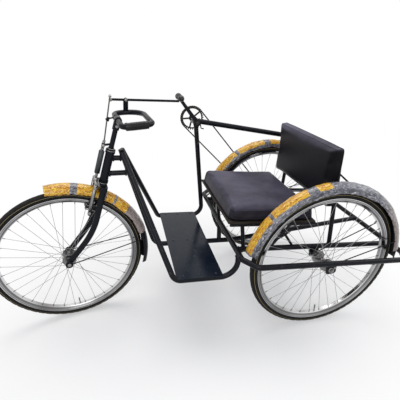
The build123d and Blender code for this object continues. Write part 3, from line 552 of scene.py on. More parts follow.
# Tyres: black rubber with cotton in the walls, stretched over the rim and held by air. The
# wall has moulded ribs and a thin tan line, the tread has rows of blocks, dusty from the road.
TYRE_LINE_R = 0.3415
TYRE_TUBE_R = 0.0185
TYRE_MID_R = AXLE_HEIGHT * 0.001 - TYRE_TUBE_R
TREAD_HALF_ANGLE = math.radians(62)
TREAD_AROUND, TREAD_ACROSS = 480, 25
# In radians by metre of radius, which gives a rib every 1.2 mm
WALL_RIB_RATE = 5200.0


def tyre_rubber(name):
    """Rubber with a line and ribs by radius, dusty and worn in the middle of the tread."""
    material, tree, shader = new_material("tyre " + name, roughness=0.58, specular=0.12)
    place = wheel_place(tree, name)
    off_line = math_node(tree, "SUBTRACT", place.outputs["Radius"], TYRE_LINE_R)
    off_line = math_node(tree, "MULTIPLY", math_node(tree, "ABSOLUTE", off_line), 1000.0)
    line = ramp(tree, off_line, [(0.0, 1.0), (0.75, 1.0), (0.95, 0.0)])
    side = math_node(tree, "ABSOLUTE", place.outputs["Side"])
    side = math_node(tree, "MULTIPLY", side, 60.0, clamp=True)
    worn = math_node(tree, "SUBTRACT", 1.0, side, clamp=True)
    dust_and_sheen = use_group(
        tree, dust_and_sheen_group, Base=(0.0055, 0.0055, 0.006), Dust=(0.14, 0.12, 0.10), Amount=0.12, Scale=26.0
    )
    worn = math_node(tree, "MULTIPLY", worn, 0.25)
    colour = blend_colour(tree, worn, dust_and_sheen.outputs["Colour"], (0.050, 0.045, 0.041))
    line = math_node(tree, "MULTIPLY", line, 0.70)
    ribs = math_node(tree, "SINE", math_node(tree, "MULTIPLY", place.outputs["Radius"], WALL_RIB_RATE))
    give(
        tree, shader,
        Base_Color=blend_colour(tree, line, colour, (0.36, 0.29, 0.14)),
        Normal=relief(tree, ribs, 0.25, 0.0006),
    )
    return material


def tread_height(i, share):
    """How high the tread stands in millimetres, by step round the tyre and share across it."""
    if abs(share) > 0.97:
        return -0.25
    groove = abs(abs(share) - 0.30) < 0.07
    outer_gap = abs(share) > 0.40 and i % 8 in (0, 1)
    centre_gap = abs(share) < 0.22 and i % 8 in (4, 5) and (i // 4) % 2
    return 0.25 if groove or outer_gap or centre_gap else 1.3


for name, (body, *_) in WHEELS.items():
    rubber = tyre_rubber(name)
    finish_nodes(rubber, "tyre_" + name)
    matrix = wheel_matrix(name)
    points, faces = [], []
    for i in range(TREAD_AROUND):
        angle = math.tau * i / TREAD_AROUND
        for k in range(TREAD_ACROSS):
            share = k / (TREAD_ACROSS - 1) * 2 - 1
            lean = share * TREAD_HALF_ANGLE
            tube_r = TYRE_TUBE_R + (tread_height(i, share) + 0.05) * 0.001
            radius = TYRE_MID_R + tube_r * math.cos(lean)
            place = (radius * math.sin(angle), tube_r * math.sin(lean), radius * math.cos(angle))
            points.append(matrix @ Vector(place))
    for i in range(TREAD_AROUND):
        after = (i + 1) % TREAD_AROUND
        for k in range(TREAD_ACROSS - 1):
            a, b = i * TREAD_ACROSS + k, after * TREAD_ACROSS + k
            faces.append((a, a + 1, b + 1, b))
    mesh_piece("tread_" + name, points, faces, rubber, body, smooth=False)

# Mudguards: rolled steel sheet with wired edges, enamelled black, on two wire stays each. They
# are still in their transport wrap: crinkled clear film with printed yellow lengths.
GUARD_R, GUARD_DROP, GUARD_HALF_W = 0.390, 0.027, 0.035
CREST_R = (GUARD_HALF_W**2 + GUARD_DROP**2) / (2 * GUARD_DROP)
CREST_LEAN = math.asin(GUARD_HALF_W / CREST_R)
FILM_ROWS_A_DEGREE, FILM_ACROSS = 2.4, 34
TAN_BEHIND = -38.0
# Per wheel: body, arc of the sheet, arc of the film and its yellow lengths, in degrees forward
# of the top, how far the yellow reaches to each side, and how far the film stands off
FILMS = {
    "front": (
        "steering", (-107.0, 5.0), (-78.0, 5.4),
        [(-10.5, 8.0), (-30.0, -15.0), (-41.5, -35.5), (-54.0, -43.5)], (-0.060, 0.060), 0.0024,
    ),
    "rear_left": (
        "frame", (-96.0, 74.0), (-88.0, 73.8),
        [(46.5, 73.0), (18.5, 44.0), (3.0, 12.0)], (-0.060, 0.0275), 0.0060,
    ),
    "rear_right": (
        "frame", (-96.0, 74.0), (-84.0, 73.8),
        [(31.5, 70.0), (4.0, 28.5), (-10.5, -1.5)], (-0.060, 0.0335), 0.0056,
    ),
}
finish_nodes(black_enamel, "mudguard_left", "mudguard_right", "mudguard_front")


def wrap_film(name, lengths, reach):
    """Clear film crinkled along the guard, coloured with painted highlights and shade, and yellow print
    in lengths of its arc.
    """
    material, tree, shader = new_material("guard film " + name, roughness=0.22, specular=0.40, coat=0.25)
    place = wheel_place(tree, name)
    edge_shift = math_node(tree, "MULTIPLY_ADD", noise_texture(tree, 22.0), 2.8, -1.4)
    turn_deg = math_node(tree, "MULTIPLY_ADD", place.outputs["Angle"], 360.0, edge_shift)
    mask = None
    for low, high in lengths:
        off = math_node(tree, "ABSOLUTE", math_node(tree, "SUBTRACT", turn_deg, (low + high) / 2))
        inside = math_node(tree, "LESS_THAN", off, (high - low) / 2)
        mask = inside if mask is None else math_node(tree, "MAXIMUM", mask, inside)
    side = math_node(tree, "SUBTRACT", place.outputs["Side"], 0.004)
    side = math_node(tree, "MULTIPLY_ADD", noise_texture(tree, 40.0), 0.008, side)
    mask = math_node(tree, "MULTIPLY", mask, math_node(tree, "GREATER_THAN", side, reach[0]))
    mask = math_node(tree, "MULTIPLY", mask, math_node(tree, "LESS_THAN", side, reach[1]))
    # Long creases run round the guard, so both patterns are stretched along the arc.
    drawn = give(
        tree, add(tree, "CombineXYZ"),
        math_node(tree, "MULTIPLY", turn_deg, 0.13),
        math_node(tree, "MULTIPLY", place.outputs["Side"], 85.0),
        math_node(tree, "MULTIPLY", place.outputs["Radius"], 55.0),
    ).outputs[0]
    streaks = []
    for scale, rough in ((2.4, 0.72), (1.9, 0.68)):
        streak = add(tree, "TexNoise")
        give(tree, streak, Vector=drawn, Scale=scale, Detail=9.0, Roughness=rough, Distortion=1.4)
        streaks.append(streak.outputs[0])
    # The yellow is print with red-brown blotches, and also painted shade in its crinkles and painted
    # highlights on their ridges.
    yellow = ramp(
        tree, streaks[0],
        [
            (0.37, (0.085, 0.018, 0.004)), (0.43, (0.32, 0.075, 0.004)), (0.48, (0.60, 0.28, 0.004)),
            (0.55, (0.70, 0.43, 0.006)), (0.64, (0.86, 0.68, 0.20)),
        ],
    )
    # The clear film's colour is painted light: dark streaks of painted shade and pale streaks of painted
    # highlight along the crinkles.
    painted_crease_light = ramp(
        tree, streaks[1],
        [
            (0.34, (0.014, 0.014, 0.020)), (0.46, (0.075, 0.075, 0.092)), (0.55, (0.19, 0.19, 0.22)),
            (0.63, (0.42, 0.42, 0.45)), (0.70, (0.82, 0.82, 0.85)),
        ],
    )
    # From 38 degrees behind the top, the clear colour blends over 20 degrees up to 0.38 of the way to a
    # tan pink.
    tan_share = math_node(tree, "SUBTRACT", TAN_BEHIND, turn_deg)
    tan_share = math_node(tree, "MULTIPLY", math_node(tree, "MULTIPLY", tan_share, 0.05, clamp=True), 0.38)
    clear = blend_colour(tree, tan_share, painted_crease_light, (0.46, 0.34, 0.27))
    fold = add(tree, "TexVoronoi", feature="DISTANCE_TO_EDGE")
    give(tree, fold, Vector=add(tree, "TexCoord").outputs["Object"], Scale=90.0)
    give(
        tree, shader,
        Base_Color=blend_colour(tree, mask, clear, yellow),
        Normal=relief(tree, fold.outputs[0], 0.9, 0.0024),
    )
    return material


def film_point(matrix, angle, share, loose, seed):
    """A point of the film: over the crest, then hanging a little under each edge."""
    crease = noise(Vector((angle * 21.0, share * 3.0, seed)))
    small = noise(Vector((angle * 70.0, share * 9.0, seed + 5)))
    bag = 0.5 + 0.5 * noise(Vector((angle * 5.0, share * 1.1, seed + 9)))
    lift = 0.0009 + loose * bag * (0.65 + 0.35 * crease) + 0.0011 * (small + 0.6)
    s = abs(share)
    lean = CREST_LEAN * min(s, 0.8) / 0.8
    y = (CREST_R + lift) * math.sin(lean)
    r = GUARD_R - CREST_R + (CREST_R + lift) * math.cos(lean)
    if s > 0.8:
        hang = (s - 0.8) / 0.2
        r -= hang * (0.006 + 0.008 * bag + 0.003 * crease)
        y -= hang * hang * 0.0055 - hang * 0.0012 * crease
    y = math.copysign(y, share)
    return matrix @ Vector((r * math.sin(angle), y, r * math.cos(angle)))


for seed, (name, (body, sheet_arc, film_arc, lengths, reach, loose)) in enumerate(FILMS.items()):
    film = wrap_film(name, lengths, reach)
    matrix = wheel_matrix(name)
    rows = int((film_arc[1] - film_arc[0]) * FILM_ROWS_A_DEGREE)
    points, faces = [], []
    for i in range(rows + 1):
        angle = math.radians(film_arc[0] + (film_arc[1] - film_arc[0]) * i / rows)
        for k in range(FILM_ACROSS + 1):
            share = k / FILM_ACROSS * 2 - 1
            # The film's two cut ends are ragged.
            ragged = noise(Vector((share * 4.0, seed, 1.0))) if i in (0, rows) else 0.0
            cut_at = angle + math.radians(1.3) * ragged
            points.append(film_point(matrix, cut_at, share, loose, seed * 3.7))
    for i in range(rows):
        for k in range(FILM_ACROSS):
            a = i * (FILM_ACROSS + 1) + k
            b = a + FILM_ACROSS + 1
            faces.append((a, b, b + 1, a + 1))
    wrap = mesh_piece("film_" + name, points, faces, film, body)
    shell = wrap.modifiers.new("thickness", "SOLIDIFY")
    shell.thickness = 0.0003
    shell.offset = 1.0
    # The wired edges of the sheet, which show from below and at its bare ends
    points, faces = [], []
    edge_r = GUARD_R - GUARD_DROP
    for side in (1, -1):
        edge_y = side * (GUARD_HALF_W - 0.0009)
        path = []
        for k in range(int(sheet_arc[1] - sheet_arc[0]) + 1):
            angle = math.radians(sheet_arc[0] + k)
            path.append(matrix @ Vector((edge_r * math.sin(angle), edge_y, edge_r * math.cos(angle))))
        pipe(points, faces, path, 0.0018, 8)
    mesh_piece("guard_edges_" + name, points, faces, black_enamel, body)

# Fork and steering head: two oval blades and a crown brazed to the steerer, which turns on
# ball races in the head. The rings of the races, the axle and its nuts are zinc plated.
finish_nodes(black_enamel, "fork")
finish_nodes(zinc, "front_axle")


def turned(x, y, z):
    """A point of the steering in millimetres, given straight ahead, as it stands."""
    return steer_point + Matrix.Rotation(STEER_REST, 3, steer_axis) @ (at(x, y, z) - steer_point)


def ahead_of_head(z, ahead=0.0, y=0.0):
    """A point of the steering by its height and its distance ahead of the steering axis."""
    return turned(head_x(z, ahead), y, z)


head_top, head_foot = ahead_of_head(866.0), ahead_of_head(721.0)
across_fork = (turned(1000, 100, 500) - turned(1000, 0, 500)).normalized()
# Each ring of the head: its foot on the steering axis, its outline and its number of sides
head_rings = (
    (head_top, [(0.0007, 0.0190), (0.0009, 0.0216), (0.0030, 0.0216), (0.0033, 0.0190)], 36),
    (head_top, [(0.0090, 0.0130), (0.0096, 0.0172), (0.0118, 0.0168), (0.0124, 0.0130)], 32),
    (head_foot, [(-0.0010, 0.0200), (0.0, 0.0212), (0.0026, 0.0206), (0.0030, 0.0180)], 36),
)
axle_nut = [(0, 0.0092), (0.0030, 0.0092), (0.0034, 0.0078), (0.0036, 0.0040)]
points, faces = [], []
for foot, outline, count in head_rings:
    lathe(points, faces, foot, steer_axis, outline, count)
for side in (1, -1):
    outward = across_fork * side
    washer_at = turned(WHEELBASE, side * 60.8, AXLE_HEIGHT)
    lathe(points, faces, washer_at, outward, [(-0.0002, 0.0120), (0.0012, 0.0120)], 24)
    lathe(points, faces, turned(WHEELBASE, side * 66.0, AXLE_HEIGHT), outward, axle_nut, 6)
mesh_piece("head_rings", points, faces, zinc, "steering")

# Handle loop: one tube bent to a closed D, brazed to the stem's lug, with a strap that
# carries the brake lever. The near side has a ribbed rubber grip, shiny from the hand.
finish_nodes(black_enamel, "handle_loop")
grip_rubber, tree, shader = new_material("grip rubber", roughness=0.30, specular=0.22)
dust_and_sheen = use_group(tree, dust_and_sheen_group, Base=(0.006, 0.006, 0.007), Amount=0.06, Scale=30.0)
give(tree, shader, Base_Color=dust_and_sheen.outputs["Colour"], Normal=uneven(tree, 260.0, 0.3, 0.0004))
finish_nodes(grip_rubber, "handle_grip")

HANDLE_Z = 998.0
loop_x = head_x(HANDLE_Z)
fore = (turned(900, 0, HANDLE_Z) - turned(800, 0, HANDLE_Z)).normalized()
# Each ring of the grip: x and y in mm, radius and thickness in metres
ribs = [(loop_x - 90.0 + 4.6 * k, 126.0, 0.0160, 0.0011, 6) for k in range(13)]
ends = [(loop_x - 104.0, 124.5, 0.0152, 0.0019, 8), (loop_x - 18.0, 122.0, 0.0152, 0.0019, 8)]
points, faces = [], []
for x, y, radius, thick, count in ribs + ends:
    ring = ring_points(turned(x, y, HANDLE_Z), fore, radius, 28)
    pipe(points, faces, ring, thick, count, closed=True)
mesh_piece("grip_ribs", points, faces, grip_rubber, "steering")

LEVER_Y, LEVER_Z = -78.0, 1071.0
LEVER_DROP, LEVER_LENGTH = 34.0, 320.0
lever_front = loop_x + 18.0
pivot_x = loop_x - 55.0


def lever_height(x):
    return LEVER_Z - LEVER_DROP * (lever_front - x) / LEVER_LENGTH


def strap(points, faces, start, end, wide, width, thickness):
    """Adds a flat bar with rounded ends between two points."""
    along = (end - start).normalized()
    wide = (wide - along * wide.dot(along)).normalized()
    flat = along.cross(wide)
    outline = []
    for centre, way in ((end, 1), (start, -1)):
        for k in range(9):
            angle = math.pi / 2 - math.pi * k / 8
            outline.append(centre + (along * math.cos(angle) + wide * math.sin(angle)) * way * width / 2)
    base, count = len(points), len(outline)
    for level in (-0.5, 0.5):
        points.extend(p + flat * thickness * level for p in outline)
    faces.append(tuple(range(base, base + count)))
    faces.append(tuple(range(base + 2 * count - 1, base + count - 1, -1)))
    for k in range(count):
        after = (k + 1) % count
        faces.append((base + k, base + count + k, base + count + after, base + after))


points, faces = [], []
# The strap from the loop up to the lever's pivot
strap_foot = turned(pivot_x, -124, HANDLE_Z + 2)
strap_top = turned(pivot_x, LEVER_Y - 8, lever_height(pivot_x) - 4)
strap(points, faces, strap_foot, strap_top, fore, 0.022, 0.005)
# The bracket of the rod's guide, with its clamp round the loop and its eye
CLAMP_Y = -33.5
bracket_rear = turned(loop_x + 6, CLAMP_Y, HANDLE_Z + 5)
bracket_front = turned(loop_x + 40.5, CLAMP_Y, HANDLE_Z + 1)
strap(points, faces, bracket_rear, bracket_front, across_fork, 0.015, 0.004)
clamp = ring_points(turned(loop_x, CLAMP_Y, HANDLE_Z), across_fork, 0.0128, 28)
pipe(points, faces, clamp, 0.0034, 8, closed=True)
eye = [(0, 0.0060), (0.001, 0.0070), (0.017, 0.0070), (0.018, 0.0060)]
lathe(points, faces, turned(loop_x + 40.8, -33.7, HANDLE_Z - 9), steer_axis, eye, 20)
mesh_piece("lever_straps", points, faces, black_enamel, "steering")

hex_head = [(0, 0.0070), (0.0042, 0.0070), (0.0048, 0.0060), (0.0049, 0.0010)]
points, faces = [], []
lug = ahead_of_head(HANDLE_Z - 24)
pivot_left = turned(pivot_x, LEVER_Y + 2.4, lever_height(pivot_x))
pivot_right = turned(pivot_x, LEVER_Y - 9.6, lever_height(pivot_x))
lathe(points, faces, lug + across_fork * 0.0145, across_fork, hex_head, 6)
lathe(points, faces, lug - across_fork * 0.0145, -across_fork, hex_head, 6)
lathe(points, faces, pivot_left, across_fork, hex_head, 6)
lathe(points, faces, pivot_right, -across_fork, hex_head, 6)
clamp_screw = [(0, 0.0045), (0.0035, 0.0045), (0.0040, 0.0035)]
lathe(points, faces, turned(loop_x + 12.5, -44.0, HANDLE_Z + 3), -across_fork, clamp_screw, 6)
mesh_piece("handle_bolts", points, faces, zinc, "steering")

# Rod brake: a flat steel lever pulls a thin rod through a guide, and a chromed stirrup lifts
# two rubber pads against the rim. A spring and a blue-black sleeve sit on the rod.
dark_steel = plated("dark rod steel", (0.075, 0.075, 0.080), 0.34, spots=0.3)
sleeve_enamel = enamel("sleeve enamel", (0.008, 0.016, 0.022), dust=0.20, roughness=0.30, specular=0.45)
pad_rubber, tree, shader = new_material("pad rubber", roughness=0.7, specular=0.2)
dust_and_sheen = use_group(
    tree, dust_and_sheen_group, Base=(0.014, 0.013, 0.013), Dust=(0.20, 0.17, 0.15), Amount=0.3, Scale=40.0
)
give(tree, shader, Base_Color=dust_and_sheen.outputs["Colour"])
finish_nodes(black_enamel, "brake_lever")
finish_nodes(dark_steel, "brake_rod")
finish_nodes(chrome, "brake_stirrup")
finish_nodes(pad_rubber, "brake_pads")

ROD_AHEAD = 36.0
points, faces = [], []
sleeve = [(0, 0.0090), (0.002, 0.0122), (0.1070, 0.0122), (0.1090, 0.0090)]
lathe(points, faces, ahead_of_head(771.0, ROD_AHEAD), steer_axis, sleeve, 28)
mesh_piece("rod_sleeve", points, faces, sleeve_enamel, "steering")

points, faces = [], []
# The return spring: six turns of thin wire over 10.5 mm of the rod
coil = []
for k in range(121):
    centre = ahead_of_head(876.0, ROD_AHEAD) + steer_axis * (0.0105 * k / 120)
    coil.append(ring_points(centre, steer_axis, 0.0062, 20)[k % 20])
pipe(points, faces, coil, 0.0009, 6)
rod_nut = [(0, 0.0062), (0.0006, 0.0070), (0.0050, 0.0070), (0.0056, 0.0062)]
for z in (904.5, 911.5, 757.0, 765.0):
    lathe(points, faces, ahead_of_head(z, ROD_AHEAD), steer_axis, rod_nut, 6)
clip_foot = ahead_of_head(896.0, ROD_AHEAD) - across_fork * 0.017
clip = [(0, 0.0052), (0.0006, 0.0060), (0.0334, 0.0060), (0.034, 0.0052)]
lathe(points, faces, clip_foot, across_fork, clip, 14)
rod_end = turned(lever_front - 6, LEVER_Y + 5.8, 1085.0)
pull_way = (rod_end - ahead_of_head(922.0, ROD_AHEAD)).normalized()
end_nut = [(0, 0.0056), (0.0006, 0.0066), (0.0062, 0.0066), (0.0068, 0.0030), (0.0110, 0.0028)]
lathe(points, faces, rod_end - pull_way * 0.004, pull_way, end_nut, 6)
lever_pin = [(0, 0.0050), (0.0030, 0.0050), (0.0031, 0.0070), (0.0130, 0.0070), (0.0134, 0.0050)]
lathe(points, faces, turned(lever_front - 6, LEVER_Y - 3.0, 1070.0), across_fork, lever_pin, 12)
mesh_piece("rod_nuts", points, faces, zinc, "steering")

points, faces = [], []
leg_bolt = [(0.004, 0.0075), (0.0086, 0.0075), (0.0092, 0.0060)]
for side in (1, -1):
    leg_top = ahead_of_head(729.0, ROD_AHEAD, side * 41.0)
    leg_foot = ahead_of_head(594.0, ROD_AHEAD, side * 41.0)
    strap(points, faces, leg_foot, leg_top, fore, 0.015, 0.0100)
    for place in (leg_top - steer_axis * 0.012, leg_foot + steer_axis * 0.006):
        lathe(points, faces, place, across_fork * side, leg_bolt, 6)
yoke = [(0, 0.0060), (0.0010, 0.0075), (0.0910, 0.0075), (0.0920, 0.0060)]
lathe(points, faces, ahead_of_head(737.0, ROD_AHEAD, -46.0), across_fork, yoke, 16)
yoke_boss = [(0, 0.0100), (0.0010, 0.0115), (0.0220, 0.0115), (0.0230, 0.0095)]
lathe(points, faces, ahead_of_head(731.0, ROD_AHEAD), steer_axis, yoke_boss, 20)
mesh_piece("stirrup_straps", points, faces, zinc, "steering")

PAD_R, PAD_Y, SHOE_HALF = 290.0, 17.0, 24.0
pad_turn = math.atan2(head_x(590.0, ROD_AHEAD) - WHEELBASE, 590.0 - AXLE_HEIGHT)
out_way = (math.sin(pad_turn), math.cos(pad_turn))
along_way = (math.cos(pad_turn), -math.sin(pad_turn))


def pad_corner(side, along, across, outward):
    """A point of a pad by its place along the rim, across it and outward, in mm."""
    r = PAD_R + outward
    x = WHEELBASE + out_way[0] * r + along_way[0] * along
    z = AXLE_HEIGHT + out_way[1] * r + along_way[1] * along
    return turned(x, side * PAD_Y + across, z)


# A folded steel shoe holds each pad: its outline, then its thickness along the rim
shoe = [
    (-9.6, 1.0), (-8.0, 1.0), (-8.0, -5.5), (8.0, -5.5),
    (8.0, 1.0), (9.6, 1.0), (9.6, -7.1), (-9.6, -7.1),
]
points, faces = [], []
for side in (1, -1):
    base = len(points)
    for along in (-SHOE_HALF, SHOE_HALF):
        points.extend(pad_corner(side, along, across, outward) for across, outward in shoe)
    for k in range(8):
        faces.append((base + k, base + (k + 1) % 8, base + 8 + (k + 1) % 8, base + 8 + k))
    for quad in ((0, 1, 2, 7), (2, 3, 6, 7), (3, 4, 5, 6)):
        faces.append(tuple(base + k for k in reversed(quad)))
        faces.append(tuple(base + 8 + k for k in quad))
mesh_piece("pad_shoes", points, faces, chrome, "steering")

# Crank: a forged arm on a steel spindle that runs in the bearing at the top of its post. The
# chainwheel is on the outer end, and the turned hand grip spins on a pin.
oiled_steel = plated("oiled steel", (0.035, 0.034, 0.033), 0.40, spots=0.6)
finish_nodes(oiled_steel, "chainwheel")
finish_nodes(black_enamel, "crank_arm")
finish_nodes(grip_rubber, "crank_grip")
crank_at = Vector(joints["crank_spin"]["pos_m"])
CRANK_TURN, CRANK_LENGTH = math.radians(56.0), 0.175
CHAIN_PITCH, RING_TEETH = 0.0127, 32
out_right, out_left = Vector((0, -1, 0)), Vector((0, 1, 0))
chain_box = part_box("chain")
chain_y = (chain_box[0][1] + chain_box[1][1]) / 2


def pitch_radius(teeth):
    return CHAIN_PITCH / 2 / math.sin(math.pi / teeth)


ring_r = pitch_radius(RING_TEETH)
ring_bolt = [(0, 0.0042), (0.0018, 0.0042), (0.0024, 0.0030), (0.0025, 0.0005)]
points, faces = [], []
for arm in range(5):
    angle = math.tau * arm / 5
    place = crank_at + Vector((math.cos(angle), 0, -math.sin(angle))) * (ring_r - 0.0125)
    for way in (out_right, out_left):
        start = Vector((place.x, chain_y, place.z)) + way * 0.0012
        lathe(points, faces, start, way, ring_bolt, 14)
ring_middle = Vector((crank_at.x, chain_y, crank_at.z))
# The arm's inner face is 60 mm inside the middle of the bearing.
arm_inner = Vector((crank_at.x, crank_at.y + 0.060, crank_at.z))
grip_at = crank_at + Vector((math.cos(CRANK_TURN), 0, math.sin(CRANK_TURN))) * CRANK_LENGTH
grip_at.y = arm_inner.y
# Each fastening: where it starts, the way it faces, its outline and its number of sides
for start, way, outline, count in (
    (
        ring_middle + out_right * 0.0015, out_right,
        [(0, 0.0150), (0.0020, 0.0150), (0.0028, 0.0110), (0.0085, 0.0105), (0.0095, 0.0060)], 24,
    ),
    (
        arm_inner - out_left * 0.0002, out_left,
        [(0, 0.0118), (0.0030, 0.0118), (0.0036, 0.0100), (0.0037, 0.0020)], 6,
    ),
    (
        grip_at + out_right * 0.0115, out_right,
        [(0, 0.0090), (0.0035, 0.0090), (0.0045, 0.0065), (0.0046, 0.0010)], 20,
    ),
    (
        grip_at + out_left * 0.1065, out_left,
        [(0, 0.0075), (0.0028, 0.0070), (0.0034, 0.0040), (0.0035, 0.0005)], 20,
    ),
):
    lathe(points, faces, start, way, outline, count)
mesh_piece("crank_fastenings", points, faces, oiled_steel, "crank")

points, faces = [], []
for offset in (0.006, 0.010, 0.030, 0.045, 0.060, 0.075, 0.090):
    radius = 0.0150 if offset < 0.02 else 0.0143
    ring = ring_points(grip_at + out_left * offset, out_left, radius, 26)
    pipe(points, faces, ring, 0.0011, 6, closed=True)
mesh_piece("crank_grip_ribs", points, faces, grip_rubber, "crank")

# Chain: a roller chain with inner and outer links on hardened pins, oiled and dusty. It runs
# from the crank's chainwheel to the sprocket on the right rear hub.
SPROCKET_TEETH = 18
wheel_at = WHEELS["rear_right"][1]
sprocket_r = pitch_radius(SPROCKET_TEETH)
ahead, behind = Vector((crank_at.x, crank_at.z)), Vector((wheel_at.x, wheel_at.z))
gap = behind - ahead
along_angle = math.atan2(gap.y, gap.x)
open_angle = math.acos((ring_r - sprocket_r) / gap.length)
straight = math.sqrt(gap.length**2 - (ring_r - sprocket_r) ** 2)
ring_arc = ring_r * (math.tau - 2 * open_angle)
sprocket_arc = sprocket_r * 2 * open_angle
loop_length = 2 * straight + ring_arc + sprocket_arc
link_count = round(loop_length / CHAIN_PITCH / 2) * 2


def on_rim(centre, radius, angle):
    return centre + Vector((math.cos(angle), math.sin(angle))) * radius


def on_chain(distance):
    """A point of the chain's line by the distance along it."""
    distance %= loop_length
    upper, lower = along_angle + open_angle, along_angle - open_angle
    if distance < straight:
        start, end = on_rim(ahead, ring_r, upper), on_rim(behind, sprocket_r, upper)
        point = start.lerp(end, distance / straight)
    elif distance < straight + sprocket_arc:
        point = on_rim(behind, sprocket_r, upper - (distance - straight) / sprocket_r)
    elif distance < 2 * straight + sprocket_arc:
        start, end = on_rim(behind, sprocket_r, lower), on_rim(ahead, ring_r, lower)
        point = start.lerp(end, (distance - straight - sprocket_arc) / straight)
    else:
        point = on_rim(ahead, ring_r, lower - (distance - 2 * straight - sprocket_arc) / ring_r)
    return Vector((point.x, chain_y, point.y))


LINK_END_R, LINK_WAIST = 0.0041, 0.0032
PLATE_THICKNESS = 0.0008
OUTER_PLATE_Y, INNER_PLATE_Y = 0.0029, 0.0021
points, faces = [], []
step = loop_length / link_count
for number in range(link_count):
    a, b = on_chain(number * step), on_chain((number + 1) * step)
    run = (b - a).normalized()
    up = run.cross(out_left)
    plate_y = OUTER_PLATE_Y if number % 2 else INNER_PLATE_Y
    for sign in (1, -1):
        outline = []
        for end, way in ((a, -1), (b, 1)):
            for k in range(7):
                angle = -math.pi / 2 + math.pi * k / 6
                reach = way * LINK_END_R
                outline.append(end + run * (reach * math.cos(angle)) + up * (reach * math.sin(angle)))
        waist = (a + b) / 2
        outline.insert(7, waist + up * LINK_WAIST)
        outline.append(waist - up * LINK_WAIST)
        base, count = len(points), len(outline)
        for offset in (plate_y, plate_y + PLATE_THICKNESS):
            points.extend(p + out_left * (sign * offset) for p in outline)
        faces.append(tuple(range(base, base + count)))
        faces.append(tuple(range(base + 2 * count - 1, base + count - 1, -1)))
        for k in range(count):
            after = (k + 1) % count
            faces.append((base + k, base + after, base + count + after, base + count + k))
    # The roller, then the pin through it
    lathe(points, faces, a - out_left * 0.0020, out_left, [(0, 0.0038), (0.0040, 0.0038)], 10)
    lathe(points, faces, a - out_left * 0.0040, out_left, [(0, 0.0017), (0.0080, 0.0017)], 8)
links = mesh_piece("chain_links", points, faces, oiled_steel, "frame", smooth=False)
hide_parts("chain")

# Seat: foam on a plywood board, covered with black vinyl that is pulled under and tacked. The
# board's edges are stained black. The vinyl has fine pores and faint stretch waves, and a
# painted lilac sheen in patches on its upward faces.
vinyl, tree, shader = new_material("black vinyl", roughness=0.40, specular=0.10, sheen=0.03)
patch = noise_texture(tree, 5.0)
base = blend_colour(tree, patch, (0.0030, 0.0030, 0.0036), (0.0060, 0.0060, 0.0080))
# The dust group's Dust colour here is a painted lilac sheen, laid in patches on every upward face of the
# seat and the backrest.
dust_and_sheen = use_group(
    tree, dust_and_sheen_group, Base=base, Dust=(0.125, 0.115, 0.170), Amount=0.80, Scale=3.0, Upright_Share=0.0
)
pores = give(
    tree, add(tree, "TexVoronoi"), Vector=add(tree, "TexCoord").outputs["Object"], Scale=620.0
).outputs[0]
give(
    tree, shader,
    Base_Color=dust_and_sheen.outputs["Colour"],
    Roughness=math_node(tree, "MULTIPLY_ADD", patch, 0.14, 0.34),
    Sheen_Roughness=0.5,
    Sheen_Tint=(0.62, 0.60, 0.75),
    Normal=relief(tree, patch, 0.5, 0.004, under=relief(tree, pores, 0.30, 0.0003)),
)

stained_board, tree, shader = new_material("stained board", roughness=0.7, specular=0.2)
grain = give(
    tree, add(tree, "TexWave", wave_type="BANDS", bands_direction="Y"),
    Vector=add(tree, "TexCoord").outputs["Object"], Scale=14.0, Distortion=6.0, Detail=3.0,
).outputs[1]
stain = blend_colour(tree, grain, (0.012, 0.010, 0.009), (0.030, 0.024, 0.018))
give(tree, shader, Base_Color=stain)
finish_nodes(stained_board, "seat_board")


def apply_modifier(piece, modifier):
    bpy.context.view_layer.objects.active = piece
    bpy.ops.object.select_all(action="DESELECT")
    piece.select_set(True)
    bpy.ops.object.modifier_apply(modifier=modifier.name)


def round_corners(mesh, middle, reach_x, reach_y):
    """Pulls the block's four upright edges in to quarter circles beyond the two reaches."""
    for vertex in mesh.vertices:
        dx, dy = vertex.co.x - middle.x, vertex.co.y - middle.y
        over_x, over_y = abs(dx) - reach_x, abs(dy) - reach_y
        if over_x > 0 and over_y > 0:
            pull = max(over_x, over_y) / math.hypot(over_x, over_y)
            vertex.co.x = middle.x + math.copysign(reach_x + over_x * pull, dx)
            vertex.co.y = middle.y + math.copysign(reach_y + over_y * pull, dy)


def fill_with_air(piece, cap, pressure, flat_side):
    """Blows the piece up as cloth. Its flat side is held, and no point moves more than the cap."""
    vertices = piece.data.vertices
    rest = [vertex.co.copy() for vertex in vertices]
    held = piece.vertex_groups.new(name="held")
    flat = [i for i, vertex in enumerate(vertices) if vertex.normal.dot(flat_side) > 0.8]
    held.add(flat, 1.0, "REPLACE")
    cloth = piece.modifiers.new("air", "CLOTH")
    settings = cloth.settings
    settings.quality = 5
    settings.mass = 0.3
    settings.tension_stiffness = 25
    settings.compression_stiffness = 25
    settings.bending_stiffness = 4.0
    settings.use_pressure = True
    settings.uniform_pressure_force = pressure
    settings.vertex_group_mass = held.name
    settings.effector_weights.gravity = 0.0
    cloth.collision_settings.use_self_collision = False
    for frame_number in range(1, 21):
        bpy.context.scene.frame_set(frame_number)
    apply_modifier(piece, cloth)
    for vertex, before in zip(piece.data.vertices, rest):
        move = vertex.co - before
        if move.length > cap:
            vertex.co = before + move.normalized() * cap
    piece.vertex_groups.clear()


